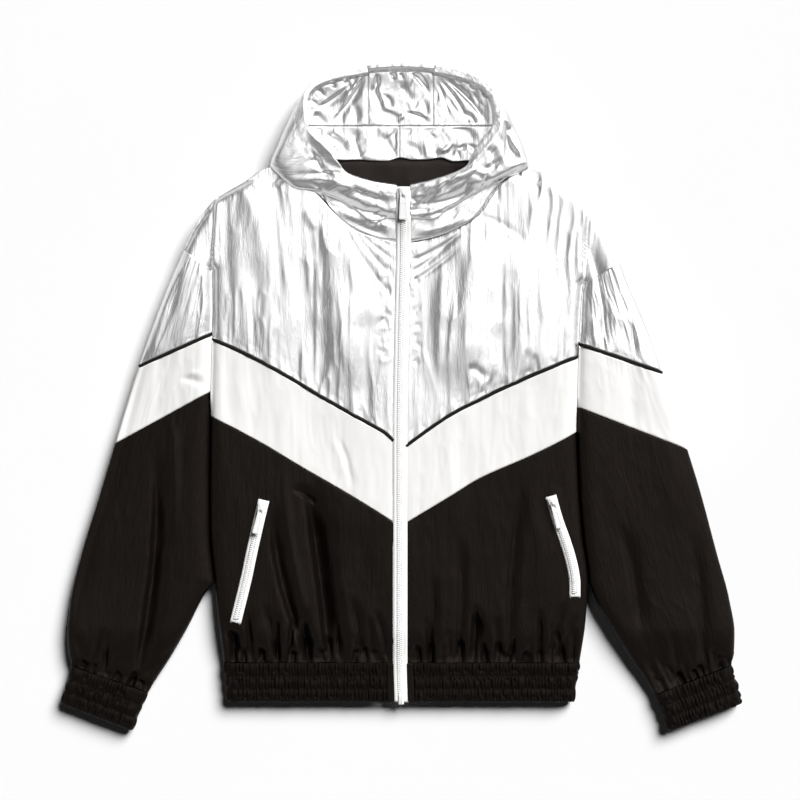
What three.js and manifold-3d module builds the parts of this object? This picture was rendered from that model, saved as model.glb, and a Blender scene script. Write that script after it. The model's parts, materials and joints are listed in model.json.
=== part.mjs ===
// A hooded track jacket, zipped to the neck and laid on its back with the hood spread open.
// Millimetres, +Z up. "up" in names and tables is the distance from the hem towards the hood (+Y),
// and right and left are the wearer's own: the right side lies at -X, the left side at +X.
import * as THREE from 'three';
import { mergeVertices } from 'three/addons/utils/BufferGeometryUtils.js';
import Module from 'manifold-3d';

// Driving sizes.
const WALL = 1.5; // outer cloth with its seam allowances
const LINING_WALL = 1.0;
const GAP = 0.4; // between neighbouring pieces at a seam
const FOLD_SHARE = 0.48; // height of a side fold as a share of the garment's thickness
const UNDER_ROLL = 14; // reach of the rounded edge on the underside
const HEM_HEIGHT = 49.4;
const CUFF_CHANNELS = 3;
const CHANNEL_BULGE = 1.4;
const PIPING_WIDTH = 3.6;
const PIPING_WALL = 2.2;
const PIPING_LIFT = 0.6;
const SHOULDER_END = 630; // where the shoulder turns down into the sleeve side
const TAB_WIDTH = 9; // plain end of the hem beside the zip
const ZIP_WIDTH = 16;
const CHAIN_WIDTH = 6;
const CHAIN_HEIGHT = 2.6;
const TAPE_WALL = 1;
const ZIP_TOP = 642;
const ZIP_BOTTOM = 10.5;
const POCKET_ZIP_WIDTH = 14;
const HOOD_CENTRE = { right: -40, left: 42 }; // seams of the hood's middle panel
const STAND_TOP = 722;
const BACK_NECK = 679;
const CENTRE_BACK = -1;

const SIDES = { right: -1, left: 1 };

// Half widths of the body at its side folds.
const BODY_SIDES = [
  { up: 0, right: 216, left: 218 },
  { up: 50, right: 221, left: 225 },
  { up: 100, right: 227, left: 232 },
  { up: 150, right: 231.5, left: 235 },
  { up: 210, right: 237.5, left: 227.5 },
  { up: 270, right: 238, left: 223 },
  { up: 345, right: 237, left: 220.5 },
  { up: 440, right: 234.5, left: 222.5 },
  { up: 500, right: 233, left: 225.5 },
  { up: 540, right: 233, left: 230 },
];

// The outer fold, from the end of the cuff up the sleeve and along the shoulder to the neck.
const OUTER_FOLD = [
  { up: -2, right: 424, left: 427.6 },
  { up: 22, right: 418, left: 422 },
  { up: 46, right: 411.5, left: 415 },
  { up: 60, right: 415, left: 418 },
  { up: 85, right: 416, left: 418.5 },
  { up: 130, right: 411, left: 411.5 },
  { up: 185, right: 398, left: 396.5 },
  { up: 265, right: 373.5, left: 375 },
  { up: 320, right: 357, left: 358 },
  { up: 370, right: 342, left: 342 },
  { up: 420, right: 326, left: 325 },
  { up: 480, right: 304.5, left: 303.5 },
  { up: 520, right: 289, left: 286 },
  { up: 550, right: 276, left: 275 },
  { up: 575, right: 264.5, left: 264.5 },
  { up: 605, right: 248.5, left: 248.5 },
  { up: 630, right: 228, left: 231.3 },
  { up: 648, right: 196, left: 198 },
  { up: 667, right: 162, left: 163.8 },
];

// The sleeve's inner fold below the point where it leaves the body's side.
const FREE_SLEEVE = [
  { up: -37, right: 335.5, left: 336.5 },
  { up: 10, right: 316, left: 317.5 },
  { up: 57, right: 286.5, left: 286 },
  { up: 96, right: 264, left: 262.5 },
  { up: 128, right: 248, left: 244 },
  { up: 148, right: 235, left: 237 },
];
const FREE_SLEEVE_TOP = 148;
const SLEEVE_CLEARANCE = 1; // between the sleeve and the body where they lie side by side

// Where each ring of the sleeve meets its outer and its inner fold.
const SLEEVE_SEAMS = {
  armhole: { right: { outer: 565, inner: 539 }, left: { outer: 549.5, inner: 522 } },
  piping: { right: { outer: 419, inner: 459.6 }, left: { outer: 411, inner: 447 } },
  bandEnd: { right: { outer: 323, inner: 388 }, left: { outer: 315.6, inner: 368.8 } },
  cuff: { right: { outer: 45.5, inner: 12 }, left: { outer: 46, inner: 9 } },
  cuffEnd: { right: { outer: -2, inner: -36 }, left: { outer: -2, inner: -37 } },
};

// Centre line of the front zip, and the thickness of the laid garment.
const ZIP_LINE = [
  { up: -4, x: 1.6 },
  { up: 60, x: 0 },
  { up: 330, x: 0 },
  { up: 465, x: 1.8 },
  { up: 590, x: 4.3 },
  { up: 645, x: 4.3 },
];
const THICKNESS = [
  { up: -40, height: 17, roll: 12 },
  { up: 30, height: 17.5, roll: 12 },
  { up: 52, height: 19, roll: 13 },
  { up: 95, height: 25, roll: 26 },
  { up: 300, height: 26, roll: 30 },
  { up: 570, height: 27.5, roll: 28 },
  { up: 680, height: 27.5, roll: 26 },
];
const NECK_RISE = [
  { up: 540, height: 27.3 },
  { up: 574, height: 28 },
  { up: 606, height: 33.5 },
  { up: 645, height: 35.5 },
];

// Seam lines across the right and left fronts, from the zip to the side.
const FRONT_PIPING = {
  right: [
    { x: 0, up: 318 }, { x: -18, up: 336 }, { x: -43, up: 350 }, { x: -94, up: 379 },
    { x: -153, up: 414 }, { x: -196, up: 436.5 }, { x: -238, up: 455 },
  ],
  left: [
    { x: 0, up: 314 }, { x: 9, up: 321 }, { x: 37, up: 341.5 }, { x: 67, up: 361 },
    { x: 111, up: 383.5 }, { x: 160, up: 406 }, { x: 198, up: 422 }, { x: 226, up: 433 },
  ],
};
const FRONT_BAND_END = {
  right: [
    { x: 0, up: 220 }, { x: -31, up: 240 }, { x: -69, up: 263 }, { x: -120, up: 292.5 },
    { x: -171, up: 323 }, { x: -209, up: 343.5 }, { x: -240, up: 359 },
  ],
  left: [
    { x: 0, up: 220 }, { x: 9, up: 225.5 }, { x: 62, up: 257.5 }, { x: 99, up: 280 },
    { x: 160, up: 307 }, { x: 198, up: 325.5 }, { x: 224, up: 340 },
  ],
};
// The neckline seam, then the shoulder out to the point where the sleeve side begins.
const FRONT_TOP = {
  right: [
    { x: 0, up: 573.5 }, { x: -25, up: 578 }, { x: -54, up: 588 }, { x: -77, up: 605 },
    { x: -97, up: 627 }, { x: -108, up: 639 }, { x: -130, up: 654 }, { x: -162, up: 667 },
    { x: -196, up: 648 }, { x: -228, up: 630 },
  ],
  left: [
    { x: 0, up: 573.5 }, { x: 16, up: 573.5 }, { x: 42, up: 579.5 }, { x: 71, up: 590 },
    { x: 92, up: 602 }, { x: 107, up: 619 }, { x: 122, up: 641 }, { x: 138, up: 655 },
    { x: 164, up: 667 }, { x: 198, up: 648 }, { x: 231.3, up: 630 },
  ],
};
const BACK_TOP = [
  { x: -228, up: 630 }, { x: -196, up: 648 }, { x: -162, up: 667 }, { x: -130, up: 673 },
  { x: -90, up: BACK_NECK }, { x: 90, up: BACK_NECK }, { x: 132, up: 673 }, { x: 164, up: 667 },
  { x: 198, up: 648 }, { x: 231.3, up: 630 },
];

// The largest folds of the fronts and sleeves: a soft trough, or a ridge where deep is negative.
const FOLDS = [
  { x: -112, up: 245, toX: -90, toUp: 60, wide: 16, deep: 4 },
  { x: -158, up: 226, toX: -116, toUp: 70, wide: 15, deep: 3.5 },
  { x: -141, up: 271, toX: -109, toUp: 127, wide: 18, deep: -2.5 },
  { x: 146, up: 259, toX: 138, toUp: 66, wide: 15, deep: 3 },
  { x: 73, up: 191, toX: 70, toUp: 62, wide: 14, deep: 3 },
  { x: 38, up: 150, toX: 33, toUp: 62, wide: 13, deep: 2.5 },
  { x: -305, up: 250, toX: -322, toUp: 80, wide: 20, deep: 5 },
  { x: -284, up: 342, toX: -282, toUp: 226, wide: 24, deep: -3 },
  { x: 275, up: 215, toX: 300, toUp: 90, wide: 20, deep: 4 },
  { x: 365, up: 190, toX: 374, toUp: 75, wide: 20, deep: 3 },
  { x: -88, up: 600, toX: -70, toUp: 400, wide: 24, deep: 3 },
  { x: 80, up: 585, toX: 74, toUp: 430, wide: 22, deep: 2.5 },
  { x: 133, up: 610, toX: 128, toUp: 450, wide: 20, deep: 2 },
];

const ON_GROUND = -1; // marks a seam that lies on the ground, not over a front
// The hood from the zip round to its middle panel. The edge is the lip of the opening, the fold is
// the outermost line, and the seam joins the neckline first and the middle panel after it.
const HOOD = {
  right: [
    { edge: [-4, 643.3, 35.5], fold: [-4.2, 606, 33.5], seam: [-4.4, 573.8], over: 2 },
    { edge: [-34, 647.6, 36.5], fold: [-32, 601, 33.5], seam: [-25, 578.3], over: 2 },
    { edge: [-63, 656, 37.5], fold: [-58, 616.5, 34], seam: [-54, 588.4], over: 2 },
    { edge: [-92, 671.5, 38.5], fold: [-81, 630.4, 34], seam: [-77.2, 605.6], over: 2 },
    { edge: [-106, 686, 39.5], fold: [-104, 637.4, 33.5], seam: [-94.5, 627.6], over: 2 },
    { edge: [-113.4, 698, 40], fold: [-127, 640, 33], seam: [-105, 640], over: 2 },
    { edge: [-117, 710, 40], fold: [-146, 652, 30], seam: [-124, 655], over: 2 },
    { edge: [-118, 720, 40], fold: [-161.3, 669.3, 22], seam: [-146, 665.8], over: 2 },
    { edge: [-119, 732, 38.5], fold: [-152.5, 694, 16], seam: [-131, 674.3], over: ON_GROUND },
    { edge: [-119.6, 745, 35], fold: [-139.6, 724, 14], seam: [-90, 679.6], over: ON_GROUND },
    { edge: [-117.5, 758, 30], fold: [-121, 760.5, 12], seam: [-41, 680], over: ON_GROUND },
    { edge: [-107, 770, 26], fold: [-108.8, 772.3, 11], seam: [-41, 715], over: ON_GROUND },
    { edge: [-84, 779.3, 22.5], fold: [-85, 781.8, 10], seam: [-41, 750], over: ON_GROUND },
    { edge: [-41, 788.4, 19], fold: [-41, 791, 9], seam: [-41, 776], over: ON_GROUND },
  ],
  left: [
    { edge: [12.6, 643.8, 35.5], fold: [12.5, 606, 33.5], seam: [12.3, 573.8], over: 2 },
    { edge: [36, 648.4, 36.5], fold: [38, 603, 33.5], seam: [42, 579.9], over: 2 },
    { edge: [62, 656, 37.5], fold: [62, 616, 34], seam: [70.8, 590.4], over: 2 },
    { edge: [85, 666.8, 38.5], fold: [84.4, 631, 34], seam: [91.6, 602.4], over: 2 },
    { edge: [99.5, 681, 39.5], fold: [106, 641.4, 33.5], seam: [104, 620], over: 2 },
    { edge: [110, 693, 40], fold: [127, 652.8, 32], seam: [119, 642.5], over: 2 },
    { edge: [118.5, 705, 40], fold: [146, 659, 29], seam: [134, 656.5], over: 2 },
    { edge: [125, 717, 40], fold: [160.5, 669.2, 22], seam: [148, 665.5], over: 2 },
    { edge: [125.6, 725, 38.5], fold: [156.5, 688, 16], seam: [134, 674.3], over: ON_GROUND },
    { edge: [124.5, 735, 36], fold: [142.5, 720, 14], seam: [90, 679.6], over: ON_GROUND },
    { edge: [121.5, 748, 32.5], fold: [130.5, 742, 13], seam: [43, 680], over: ON_GROUND },
    { edge: [113.5, 761, 29], fold: [116.3, 763.8, 12], seam: [43, 705], over: ON_GROUND },
    { edge: [98, 772, 25.5], fold: [99.5, 774.6, 11], seam: [43, 735], over: ON_GROUND },
    { edge: [74.5, 781.6, 22], fold: [75.5, 784.2, 10], seam: [43, 757], over: ON_GROUND },
    { edge: [43, 789, 19], fold: [43, 791.6, 9], seam: [43, 776], over: ON_GROUND },
  ],
};
const HOOD_RIM_TOP = 794; // outermost line of the middle panel
const HOOD_RIM_HEIGHT = 18;

// Pocket zips: the middle of the tape from its top to its bottom end.
const POCKETS = {
  right: [
    { x: -169.4, up: 253 }, { x: -178, up: 217 }, { x: -184.6, up: 187.5 }, { x: -191, up: 157 },
    { x: -198, up: 128 }, { x: -205, up: 100 },
  ],
  left: [
    { x: 187.5, up: 258 }, { x: 196, up: 228 }, { x: 204.5, up: 204.5 }, { x: 211, up: 184 },
    { x: 215.5, up: 165 }, { x: 217.5, up: 149 }, { x: 217.5, up: 132 },
  ],
};

// Sliders and pull tabs.
const SLIDER = { length: 19, half: 5.5, nose: 4, plate: 1.2, clear: 0.4 };
const BAIL = { half: 1.1, inner: 1.6, bar: 1.2 };
const PULL = { length: 32, thick: 1.4, window: 1.7, reach: 5.8, rise: 1.3 };

const CLOTH = {
  silver: { color: 0xcfcdca, roughness: 0.3, metalness: 0.9 },
  white: { color: 0xf2f1ef, roughness: 0.6, metalness: 0 },
  black: { color: 0x1c1815, roughness: 0.6, metalness: 0 },
  piping: { color: 0x24211e, roughness: 0.7, metalness: 0 },
  tape: { color: 0xf0f0ee, roughness: 0.8, metalness: 0 },
  teeth: { color: 0xf4f4f2, roughness: 0.35, metalness: 0 },
  enamel: { color: 0xe9e9e7, roughness: 0.3, metalness: 0.3 },
};

const UPWARD = new THREE.Vector3(0, 0, 1);
const DOWNWARD = new THREE.Vector3(0, 0, -1);
const outward = (side) => new THREE.Vector3(SIDES[side], 0, 0);

const wasm = await Module();
wasm.setup();

const mix = (a, b, share) => a + (b - a) * share;
const clamp = (value) => Math.min(Math.max(value, 0), 1);

// A smooth line through one column of a table, against another, carried on straight past its ends.
function curve(rows, along, value) {
  const sorted = [...rows].sort((a, b) => a[along] - b[along]);
  const keys = sorted.map((row) => row[along]);
  const values = sorted.map((row) => row[value]);
  const last = keys.length - 1;
  const slope = (i) => (values[i + 1] - values[i]) / (keys[i + 1] - keys[i]);
  const bend = (i) => {
    if (i === 0 || i === last) return slope(Math.min(i, last - 1));
    const before = slope(i - 1);
    const after = slope(i);
    return before * after <= 0 ? 0 : (2 * before * after) / (before + after);
  };
  return (at) => {
    if (at <= keys[0]) return values[0] + (at - keys[0]) * slope(0);
    if (at >= keys[last]) return values[last] + (at - keys[last]) * slope(last - 1);
    const i = keys.findIndex((key) => key > at) - 1;
    const span = keys[i + 1] - keys[i];
    const t = (at - keys[i]) / span;
    const ease = t * t * (3 - 2 * t);
    const leave = t * (1 - t) * (1 - t) * span * bend(i);
    const arrive = t * t * (t - 1) * span * bend(i + 1);
    return mix(values[i], values[i + 1], ease) + leave + arrive;
  };
}

function distanceTo(line, x, up) {
  let best = Infinity;
  for (let i = 0; i + 1 < line.length; i += 1) {
    const [ax, ay] = line[i];
    const dx = line[i + 1][0] - ax;
    const dy = line[i + 1][1] - ay;
    const share = clamp(((x - ax) * dx + (up - ay) * dy) / (dx * dx + dy * dy));
    best = Math.min(best, Math.hypot(x - ax - dx * share, up - ay - dy * share));
  }
  return best;
}

function trace(line, from, to, step) {
  const count = Math.ceil((to - from) / step);
  return Array.from({ length: count + 1 }, (_, i) => {
    const up = mix(from, to, i / count);
    return [line(up), up];
  });
}

const zipLine = curve(ZIP_LINE, 'up', 'x');
const thickness = curve(THICKNESS, 'up', 'height');
const roll = curve(THICKNESS, 'up', 'roll');
const neckRise = curve(NECK_RISE, 'up', 'height');

// The fold lines of one side of the garment.
function foldLines(side) {
  const sign = SIDES[side];
  const body = curve(BODY_SIDES, 'up', side);
  const outer = curve(OUTER_FOLD, 'up', side);
  const free = curve(FREE_SLEEVE, 'up', side);
  const beside = (up) => body(up) + SLEEVE_CLEARANCE;
  const inner = (up) => (up < FREE_SLEEVE_TOP ? Math.max(free(up), beside(up)) : beside(up));
  const armpit = SLEEVE_SEAMS.armhole[side].inner;
  const lines = {
    body: (up) => sign * body(up),
    outer: (up) => sign * outer(up),
    inner: (up) => sign * inner(up),
  };
  const shoulderTop = OUTER_FOLD[OUTER_FOLD.length - 1].up;
  const outerTrace = trace(lines.outer, -6, shoulderTop, 8);
  return {
    ...lines,
    bodyEdges: [trace(lines.body, -4, armpit, 12), outerTrace],
    sleeveEdges: [trace(lines.inner, -42, armpit, 8), outerTrace],
  };
}

const LINES = { right: foldLines('right'), left: foldLines('left') };

// Depth of the large folds at a point: each is a soft trough that fades towards its ends.
function foldDepth(x, up) {
  let depth = 0;
  for (const fold of FOLDS) {
    const dx = fold.toX - fold.x;
    const dy = fold.toUp - fold.up;
    const length = Math.hypot(dx, dy);
    const along = ((x - fold.x) * dx + (up - fold.up) * dy) / (length * length);
    const across = ((x - fold.x) * dy - (up - fold.up) * dx) / length;
    const ends = clamp(Math.min(along, 1 - along) * 4 + 0.3);
    depth += fold.deep * ends * Math.exp(-((across / (fold.wide / 2)) ** 2));
  }
  return depth;
}

// How far a point is in from the nearest fold line; within a millimetre it counts as on the fold.
function reachFrom(edges, x, up) {
  const reach = Math.min(...edges.map((line) => distanceTo(line, x, up)));
  return reach < 1 ? 0 : reach;
}

// Height of the upper layer, rounded down to the folds, and of the layer that lies on the ground.
function topHeight(edges, x, up) {
  const share = clamp(reachFrom(edges, x, up) / roll(up));
  const low = thickness(up) * FOLD_SHARE + GAP / 2;
  const round = Math.sqrt(1 - (1 - share) ** 2);
  return mix(low, thickness(up), round) - foldDepth(x, up) * share;
}

function underHeight(edges, x, up) {
  const share = clamp(reachFrom(edges, x, up) / Math.min(UNDER_ROLL, roll(up)));
  return (thickness(up) * FOLD_SHARE - GAP / 2) * (1 - Math.sqrt(1 - (1 - share) ** 2));
}

// A point of one layer. On a fold it is marked, because the wall's rim is level there.
function layerPoint(height, edges, x, up, lift = 0) {
  const point = new THREE.Vector3(x, up, height(edges, x, up) + lift);
  point.onFold = reachFrom(edges, x, up) === 0;
  return point;
}

// Elastic channels swell between their stitch lines: share runs over the band from 0 to 1.
const swell = (share) => CHANNEL_BULGE * Math.abs(Math.sin(Math.PI * CUFF_CHANNELS * share));

// Unit normals of a grid of points, turned so that the one at the probe faces the given way.
function gridNormals(grid, closed, facing, probe) {
  const rows = grid.length;
  const columns = grid[0].length;
  const pick = (i, j) => {
    const row = Math.min(Math.max(i, 0), rows - 1);
    const column = closed ? (j + columns) % columns : Math.min(Math.max(j, 0), columns - 1);
    return grid[row][column];
  };
  const normals = grid.map((row, i) => row.map((_, j) => {
    const along = new THREE.Vector3().subVectors(pick(i + 1, j), pick(i - 1, j));
    const across = new THREE.Vector3().subVectors(pick(i, j + 1), pick(i, j - 1));
    return along.cross(across).normalize();
  }));
  const sign = normals[Math.floor(rows / 2)][probe].dot(facing) < 0 ? -1 : 1;
  normals.forEach((row, i) => row.forEach((normal, j) => {
    normal.multiplyScalar(sign);
    if (grid[i][j].onFold) normal.setZ(0).normalize();
  }));
  return { normals, sign };
}

// A sheet of cloth: the grid is its outer face, the inner face is moved in along the normals, and
// rims close the free edges. A closed sheet joins its last column to its first, as a sleeve does.
function cloth(grid, { wall = WALL, facing = UPWARD, closed = false, probe } = {}) {
  const rows = grid.length;
  const columns = grid[0].length;
  const { normals, sign } = gridNormals(grid, closed, facing, probe ?? Math.floor(columns / 2));
  const positions = [];
  grid.forEach((row) => row.forEach((point) => positions.push(point.x, point.y, point.z)));
  grid.forEach((row, i) => row.forEach((point, j) => {
    const inner = point.clone().addScaledVector(normals[i][j], -wall);
    positions.push(inner.x, inner.y, inner.z);
  }));
  const size = rows * columns;
  const indices = [];
  const quad = (a, b, c, d) => {
    if (sign > 0) indices.push(a, b, c, a, c, d);
    else indices.push(a, c, b, a, d, c);
  };
  const spans = closed ? columns : columns - 1;
  const at = (i, j) => i * columns + (j % columns);
  for (let i = 0; i + 1 < rows; i += 1) {
    for (let j = 0; j < spans; j += 1) {
      quad(at(i, j), at(i + 1, j), at(i + 1, j + 1), at(i, j + 1));
      quad(size + at(i, j), size + at(i, j + 1), size + at(i + 1, j + 1), size + at(i + 1, j));
    }
  }
  for (let j = 0; j < spans; j += 1) {
    quad(at(0, j), at(0, j + 1), size + at(0, j + 1), size + at(0, j));
    quad(at(rows - 1, j + 1), at(rows - 1, j), size + at(rows - 1, j), size + at(rows - 1, j + 1));
  }
  for (let i = 0; !closed && i + 1 < rows; i += 1) {
    const end = columns - 1;
    quad(at(i + 1, 0), at(i, 0), size + at(i, 0), size + at(i + 1, 0));
    quad(at(i, end), at(i + 1, end), size + at(i + 1, end), size + at(i, end));
  }
  return geometryOf(positions, indices);
}

function geometryOf(positions, indices) {
  const geometry = new THREE.BufferGeometry();
  geometry.setAttribute('position', new THREE.Float32BufferAttribute(positions, 3));
  geometry.setIndex(indices);
  return geometry;
}

// A bar with a box section through a line of stations, each { centre, across }.
function bar(stations, width, height) {
  const positions = [];
  const corners = [[-0.5, 0.5], [0.5, 0.5], [0.5, -0.5], [-0.5, -0.5]];
  for (const { centre, across } of stations) {
    for (const [side, rise] of corners) {
      const point = centre.clone().addScaledVector(across, side * width);
      positions.push(point.x, point.y, point.z + rise * height);
    }
  }
  const indices = [];
  const count = corners.length;
  for (let i = 0; i + 1 < stations.length; i += 1) {
    for (let j = 0; j < count; j += 1) {
      const a = i * count + j;
      const b = i * count + ((j + 1) % count);
      indices.push(a, a + count, b + count, a, b + count, b);
    }
  }
  const end = (stations.length - 1) * count;
  indices.push(0, 1, 2, 0, 2, 3, end, end + 2, end + 1, end, end + 3, end + 2);
  const geometry = geometryOf(positions, indices);
  return volumeOf(geometry) < 0 ? turnedInsideOut(geometry) : geometry;
}

function volumeOf(geometry) {
  const index = geometry.getIndex().array;
  const position = geometry.getAttribute('position');
  const [a, b, c] = [new THREE.Vector3(), new THREE.Vector3(), new THREE.Vector3()];
  let total = 0;
  for (let i = 0; i < index.length; i += 3) {
    a.fromBufferAttribute(position, index[i]);
    b.fromBufferAttribute(position, index[i + 1]);
    c.fromBufferAttribute(position, index[i + 2]);
    total += a.dot(b.cross(c)) / 6;
  }
  return total;
}

function turnedInsideOut(geometry) {
  const index = [...geometry.getIndex().array];
  for (let i = 0; i < index.length; i += 3) {
    [index[i + 1], index[i + 2]] = [index[i + 2], index[i + 1]];
  }
  geometry.setIndex(index);
  return geometry;
}

function toManifold(geometry) {
  const bare = geometry.clone();
  bare.deleteAttribute('normal');
  bare.deleteAttribute('uv');
  const welded = mergeVertices(bare, 1e-5);
  return new wasm.Manifold(new wasm.Mesh({
    numProp: 3,
    vertProperties: Float32Array.from(welded.getAttribute('position').array),
    triVerts: Uint32Array.from(welded.getIndex().array),
  }));
}

function joined(geometries) {
  const mesh = geometries.map(toManifold).reduce((sum, next) => sum.add(next)).getMesh();
  return geometryOf([...mesh.vertProperties], [...mesh.triVerts]);
}

const jacket = new THREE.Group();

function add(name, geometry, finish, parent = jacket) {
  const mesh = new THREE.Mesh(geometry, new THREE.MeshStandardMaterial(CLOTH[finish]));
  mesh.name = name;
  parent.add(mesh);
  return mesh;
}

// Rows of the lower and band pieces as shares of their height, the same on front and back.
const LOWER_ROWS = [0, 0.07, 0.18, 0.36, 0.55, 0.75, 1];
const BAND_ROWS = [0, 0.5, 1];

// Places across a sleeve from its outer to its inner fold; the armhole's edge has the same.
const RING_STEPS = [0, 0.05, 0.18, 0.38, 0.62, 0.82, 0.95, 1];

// Places across half of the body at one height: close together on the rolled side, even inside.
const ROLL_STEPS = [0, 0.07, 0.28, 0.6];
const FLAT_SPANS = 5;
const BACK_SPANS = 2;
function placesAcross(inside, outside, radius, spans = FLAT_SPANS) {
  const sign = Math.sign(outside - inside);
  const rolled = ROLL_STEPS.map((share) => outside - sign * share * radius);
  const flat = Array.from({ length: spans + 1 }, (_, i) => (
    mix(outside - sign * radius, inside, i / spans)
  ));
  return [...rolled, ...flat].reverse();
}

// The grid of one front piece between two seam lines; sharesUp are its rows from low to high.
function frontGrid(side, low, high, sharesUp, edgeAt, lift = 0) {
  const sign = SIDES[side];
  const { bodyEdges } = LINES[side];
  const inside = (up) => zipLine(up) + sign * (ZIP_WIDTH / 2 + GAP);
  const columns = ROLL_STEPS.length + FLAT_SPANS + 1;
  const placeOn = (line, start, column) => {
    let up = start;
    for (let pass = 0; pass < 12; pass += 1) {
      up = line(placesAcross(inside(up), edgeAt(up), roll(up))[column]);
    }
    return up;
  };
  const grid = sharesUp.map(() => []);
  for (let column = 0; column < columns; column += 1) {
    const atSide = column === columns - 1;
    const bottom = atSide ? low.side : placeOn(low.line, low.side, column);
    const top = atSide ? high.side : placeOn(high.line, high.side, column);
    sharesUp.forEach((share, row) => {
      const up = mix(bottom, top, share);
      const x = placesAcross(inside(up), edgeAt(up), roll(up))[column];
      grid[row].push(layerPoint(topHeight, bodyEdges, x, up, lift));
    });
  }
  return grid;
}

const level = (up) => ({ line: () => up, side: up });

function seamLine(rows, edge, shift) {
  const line = curve(rows, 'x', 'up');
  return { line: (x) => line(x) + shift, side: line(edge) + shift };
}

// The seams of the coloured band across one front, moved up by a shift.
function bandSeams(side) {
  const { body } = LINES[side];
  const pipingX = body(SLEEVE_SEAMS.piping[side].inner);
  const bandX = body(SLEEVE_SEAMS.bandEnd[side].inner);
  return {
    bandEnd: (shift) => seamLine(FRONT_BAND_END[side], bandX, shift),
    piping: (shift) => seamLine(FRONT_PIPING[side], pipingX, shift),
  };
}

// The yoke's edge leaves the side fold at the armpit, follows the armhole out to the shoulder, and
// stops there: above that, the yoke ends at its top seam.
function yokeEdge(side) {
  const { outer, inner } = SLEEVE_SEAMS.armhole[side];
  const { body, outer: fold } = LINES[side];
  return (up) => {
    if (up <= inner) return body(up);
    if (up >= outer) return fold(Math.min(up, SHOULDER_END));
    return mix(body(inner), fold(outer), (up - inner) / (outer - inner));
  };
}

// Rows of the yoke as shares of its height: the middle ones lie along the armhole.
function yokeShares(side, low, high) {
  const { outer, inner } = SLEEVE_SEAMS.armhole[side];
  const armhole = RING_STEPS.map((share) => (mix(inner, outer, share) - low) / (high - low));
  return [0, 0.2, ...armhole, 0.79, 0.9, 0.96, 0.99, 1];
}

function addFront(side) {
  const { body, outer } = LINES[side];
  const { bandEnd, piping } = bandSeams(side);
  const half = PIPING_WIDTH / 2;
  const piece = (name, low, high, shares, finish, options = {}) => {
    const grid = frontGrid(side, low, high, shares, options.edge ?? body, options.lift);
    add(`${name}_${side}`, cloth(grid, options), finish);
  };
  piece('front_lower', level(HEM_HEIGHT + GAP), bandEnd(-GAP / 2), LOWER_ROWS, 'black');
  piece('front_band', bandEnd(GAP / 2), piping(-half - GAP), BAND_ROWS, 'white');
  piece('front_piping', piping(-half), piping(half), [0, 1], 'piping', {
    wall: PIPING_WALL,
    lift: PIPING_LIFT,
  });
  const low = piping(half + GAP);
  const high = seamLine(FRONT_TOP[side], outer(SHOULDER_END), 0);
  piece('front_yoke', low, high, yokeShares(side, low.side, high.side), 'silver', {
    edge: yokeEdge(side),
  });
}

// The grid of one back piece, from the right side fold across to the left one.
function backGrid(low, high, sharesUp, edges) {
  const places = (up) => {
    const reach = Math.min(UNDER_ROLL, roll(up));
    const right = placesAcross(0, edges.right(up), reach, BACK_SPANS).reverse();
    const left = placesAcross(0, edges.left(up), reach, BACK_SPANS);
    return [...right, ...left.slice(1)];
  };
  const count = places(0).length;
  const ends = (line, column, start) => {
    let up = start;
    for (let pass = 0; pass < 12; pass += 1) up = line(places(up)[column]);
    return up;
  };
  const grid = sharesUp.right.map(() => []);
  for (let column = 0; column < count; column += 1) {
    const side = column < count / 2 ? 'right' : 'left';
    const atSide = column === 0 || column === count - 1;
    const bottom = atSide ? low[side] : ends(low.line, column, low[side]);
    const top = atSide ? high[side] : ends(high.line, column, high[side]);
    sharesUp[side].forEach((share, row) => {
      const up = mix(bottom, top, share);
      const x = places(up)[column];
      grid[row].push(layerPoint(underHeight, LINES[side].bodyEdges, x, up));
    });
  }
  return grid;
}

function addBack() {
  const half = PIPING_WIDTH / 2;
  const sides = { right: LINES.right.body, left: LINES.left.body };
  const seams = { right: bandSeams('right'), left: bandSeams('left') };
  // A straight seam across the back between the ends of the same seam on the fronts.
  const across = (name, shift) => {
    const right = seams.right[name](shift).side;
    const left = seams.left[name](shift).side;
    const span = sides.left(left) - sides.right(right);
    return { line: (x) => mix(right, left, (x - sides.right(right)) / span), right, left };
  };
  const hemTop = { line: () => HEM_HEIGHT + GAP, right: HEM_HEIGHT + GAP, left: HEM_HEIGHT + GAP };
  const piece = (name, low, high, shares, finish, options = {}) => {
    const grid = backGrid(low, high, shares, options.edges ?? sides);
    add(name, cloth(grid, { facing: DOWNWARD, ...options }), finish);
  };
  const same = (shares) => ({ right: shares, left: shares });
  piece('back_lower', hemTop, across('bandEnd', -GAP / 2), same(LOWER_ROWS), 'black');
  piece('back_band', across('bandEnd', GAP / 2), across('piping', -half - GAP), same(BAND_ROWS), 'white');
  piece('back_piping', across('piping', -half), across('piping', half), same([0, 1]), 'piping', {
    wall: PIPING_WALL,
  });
  const low = across('piping', half + GAP);
  const top = curve(BACK_TOP, 'x', 'up');
  const high = {
    line: top,
    right: top(LINES.right.outer(SHOULDER_END)),
    left: top(LINES.left.outer(SHOULDER_END)),
  };
  const rows = {
    right: yokeShares('right', low.right, high.right),
    left: yokeShares('left', low.left, high.left),
  };
  piece('back_yoke', low, high, rows, 'silver', {
    edges: { right: yokeEdge('right'), left: yokeEdge('left') },
  });
}

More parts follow.
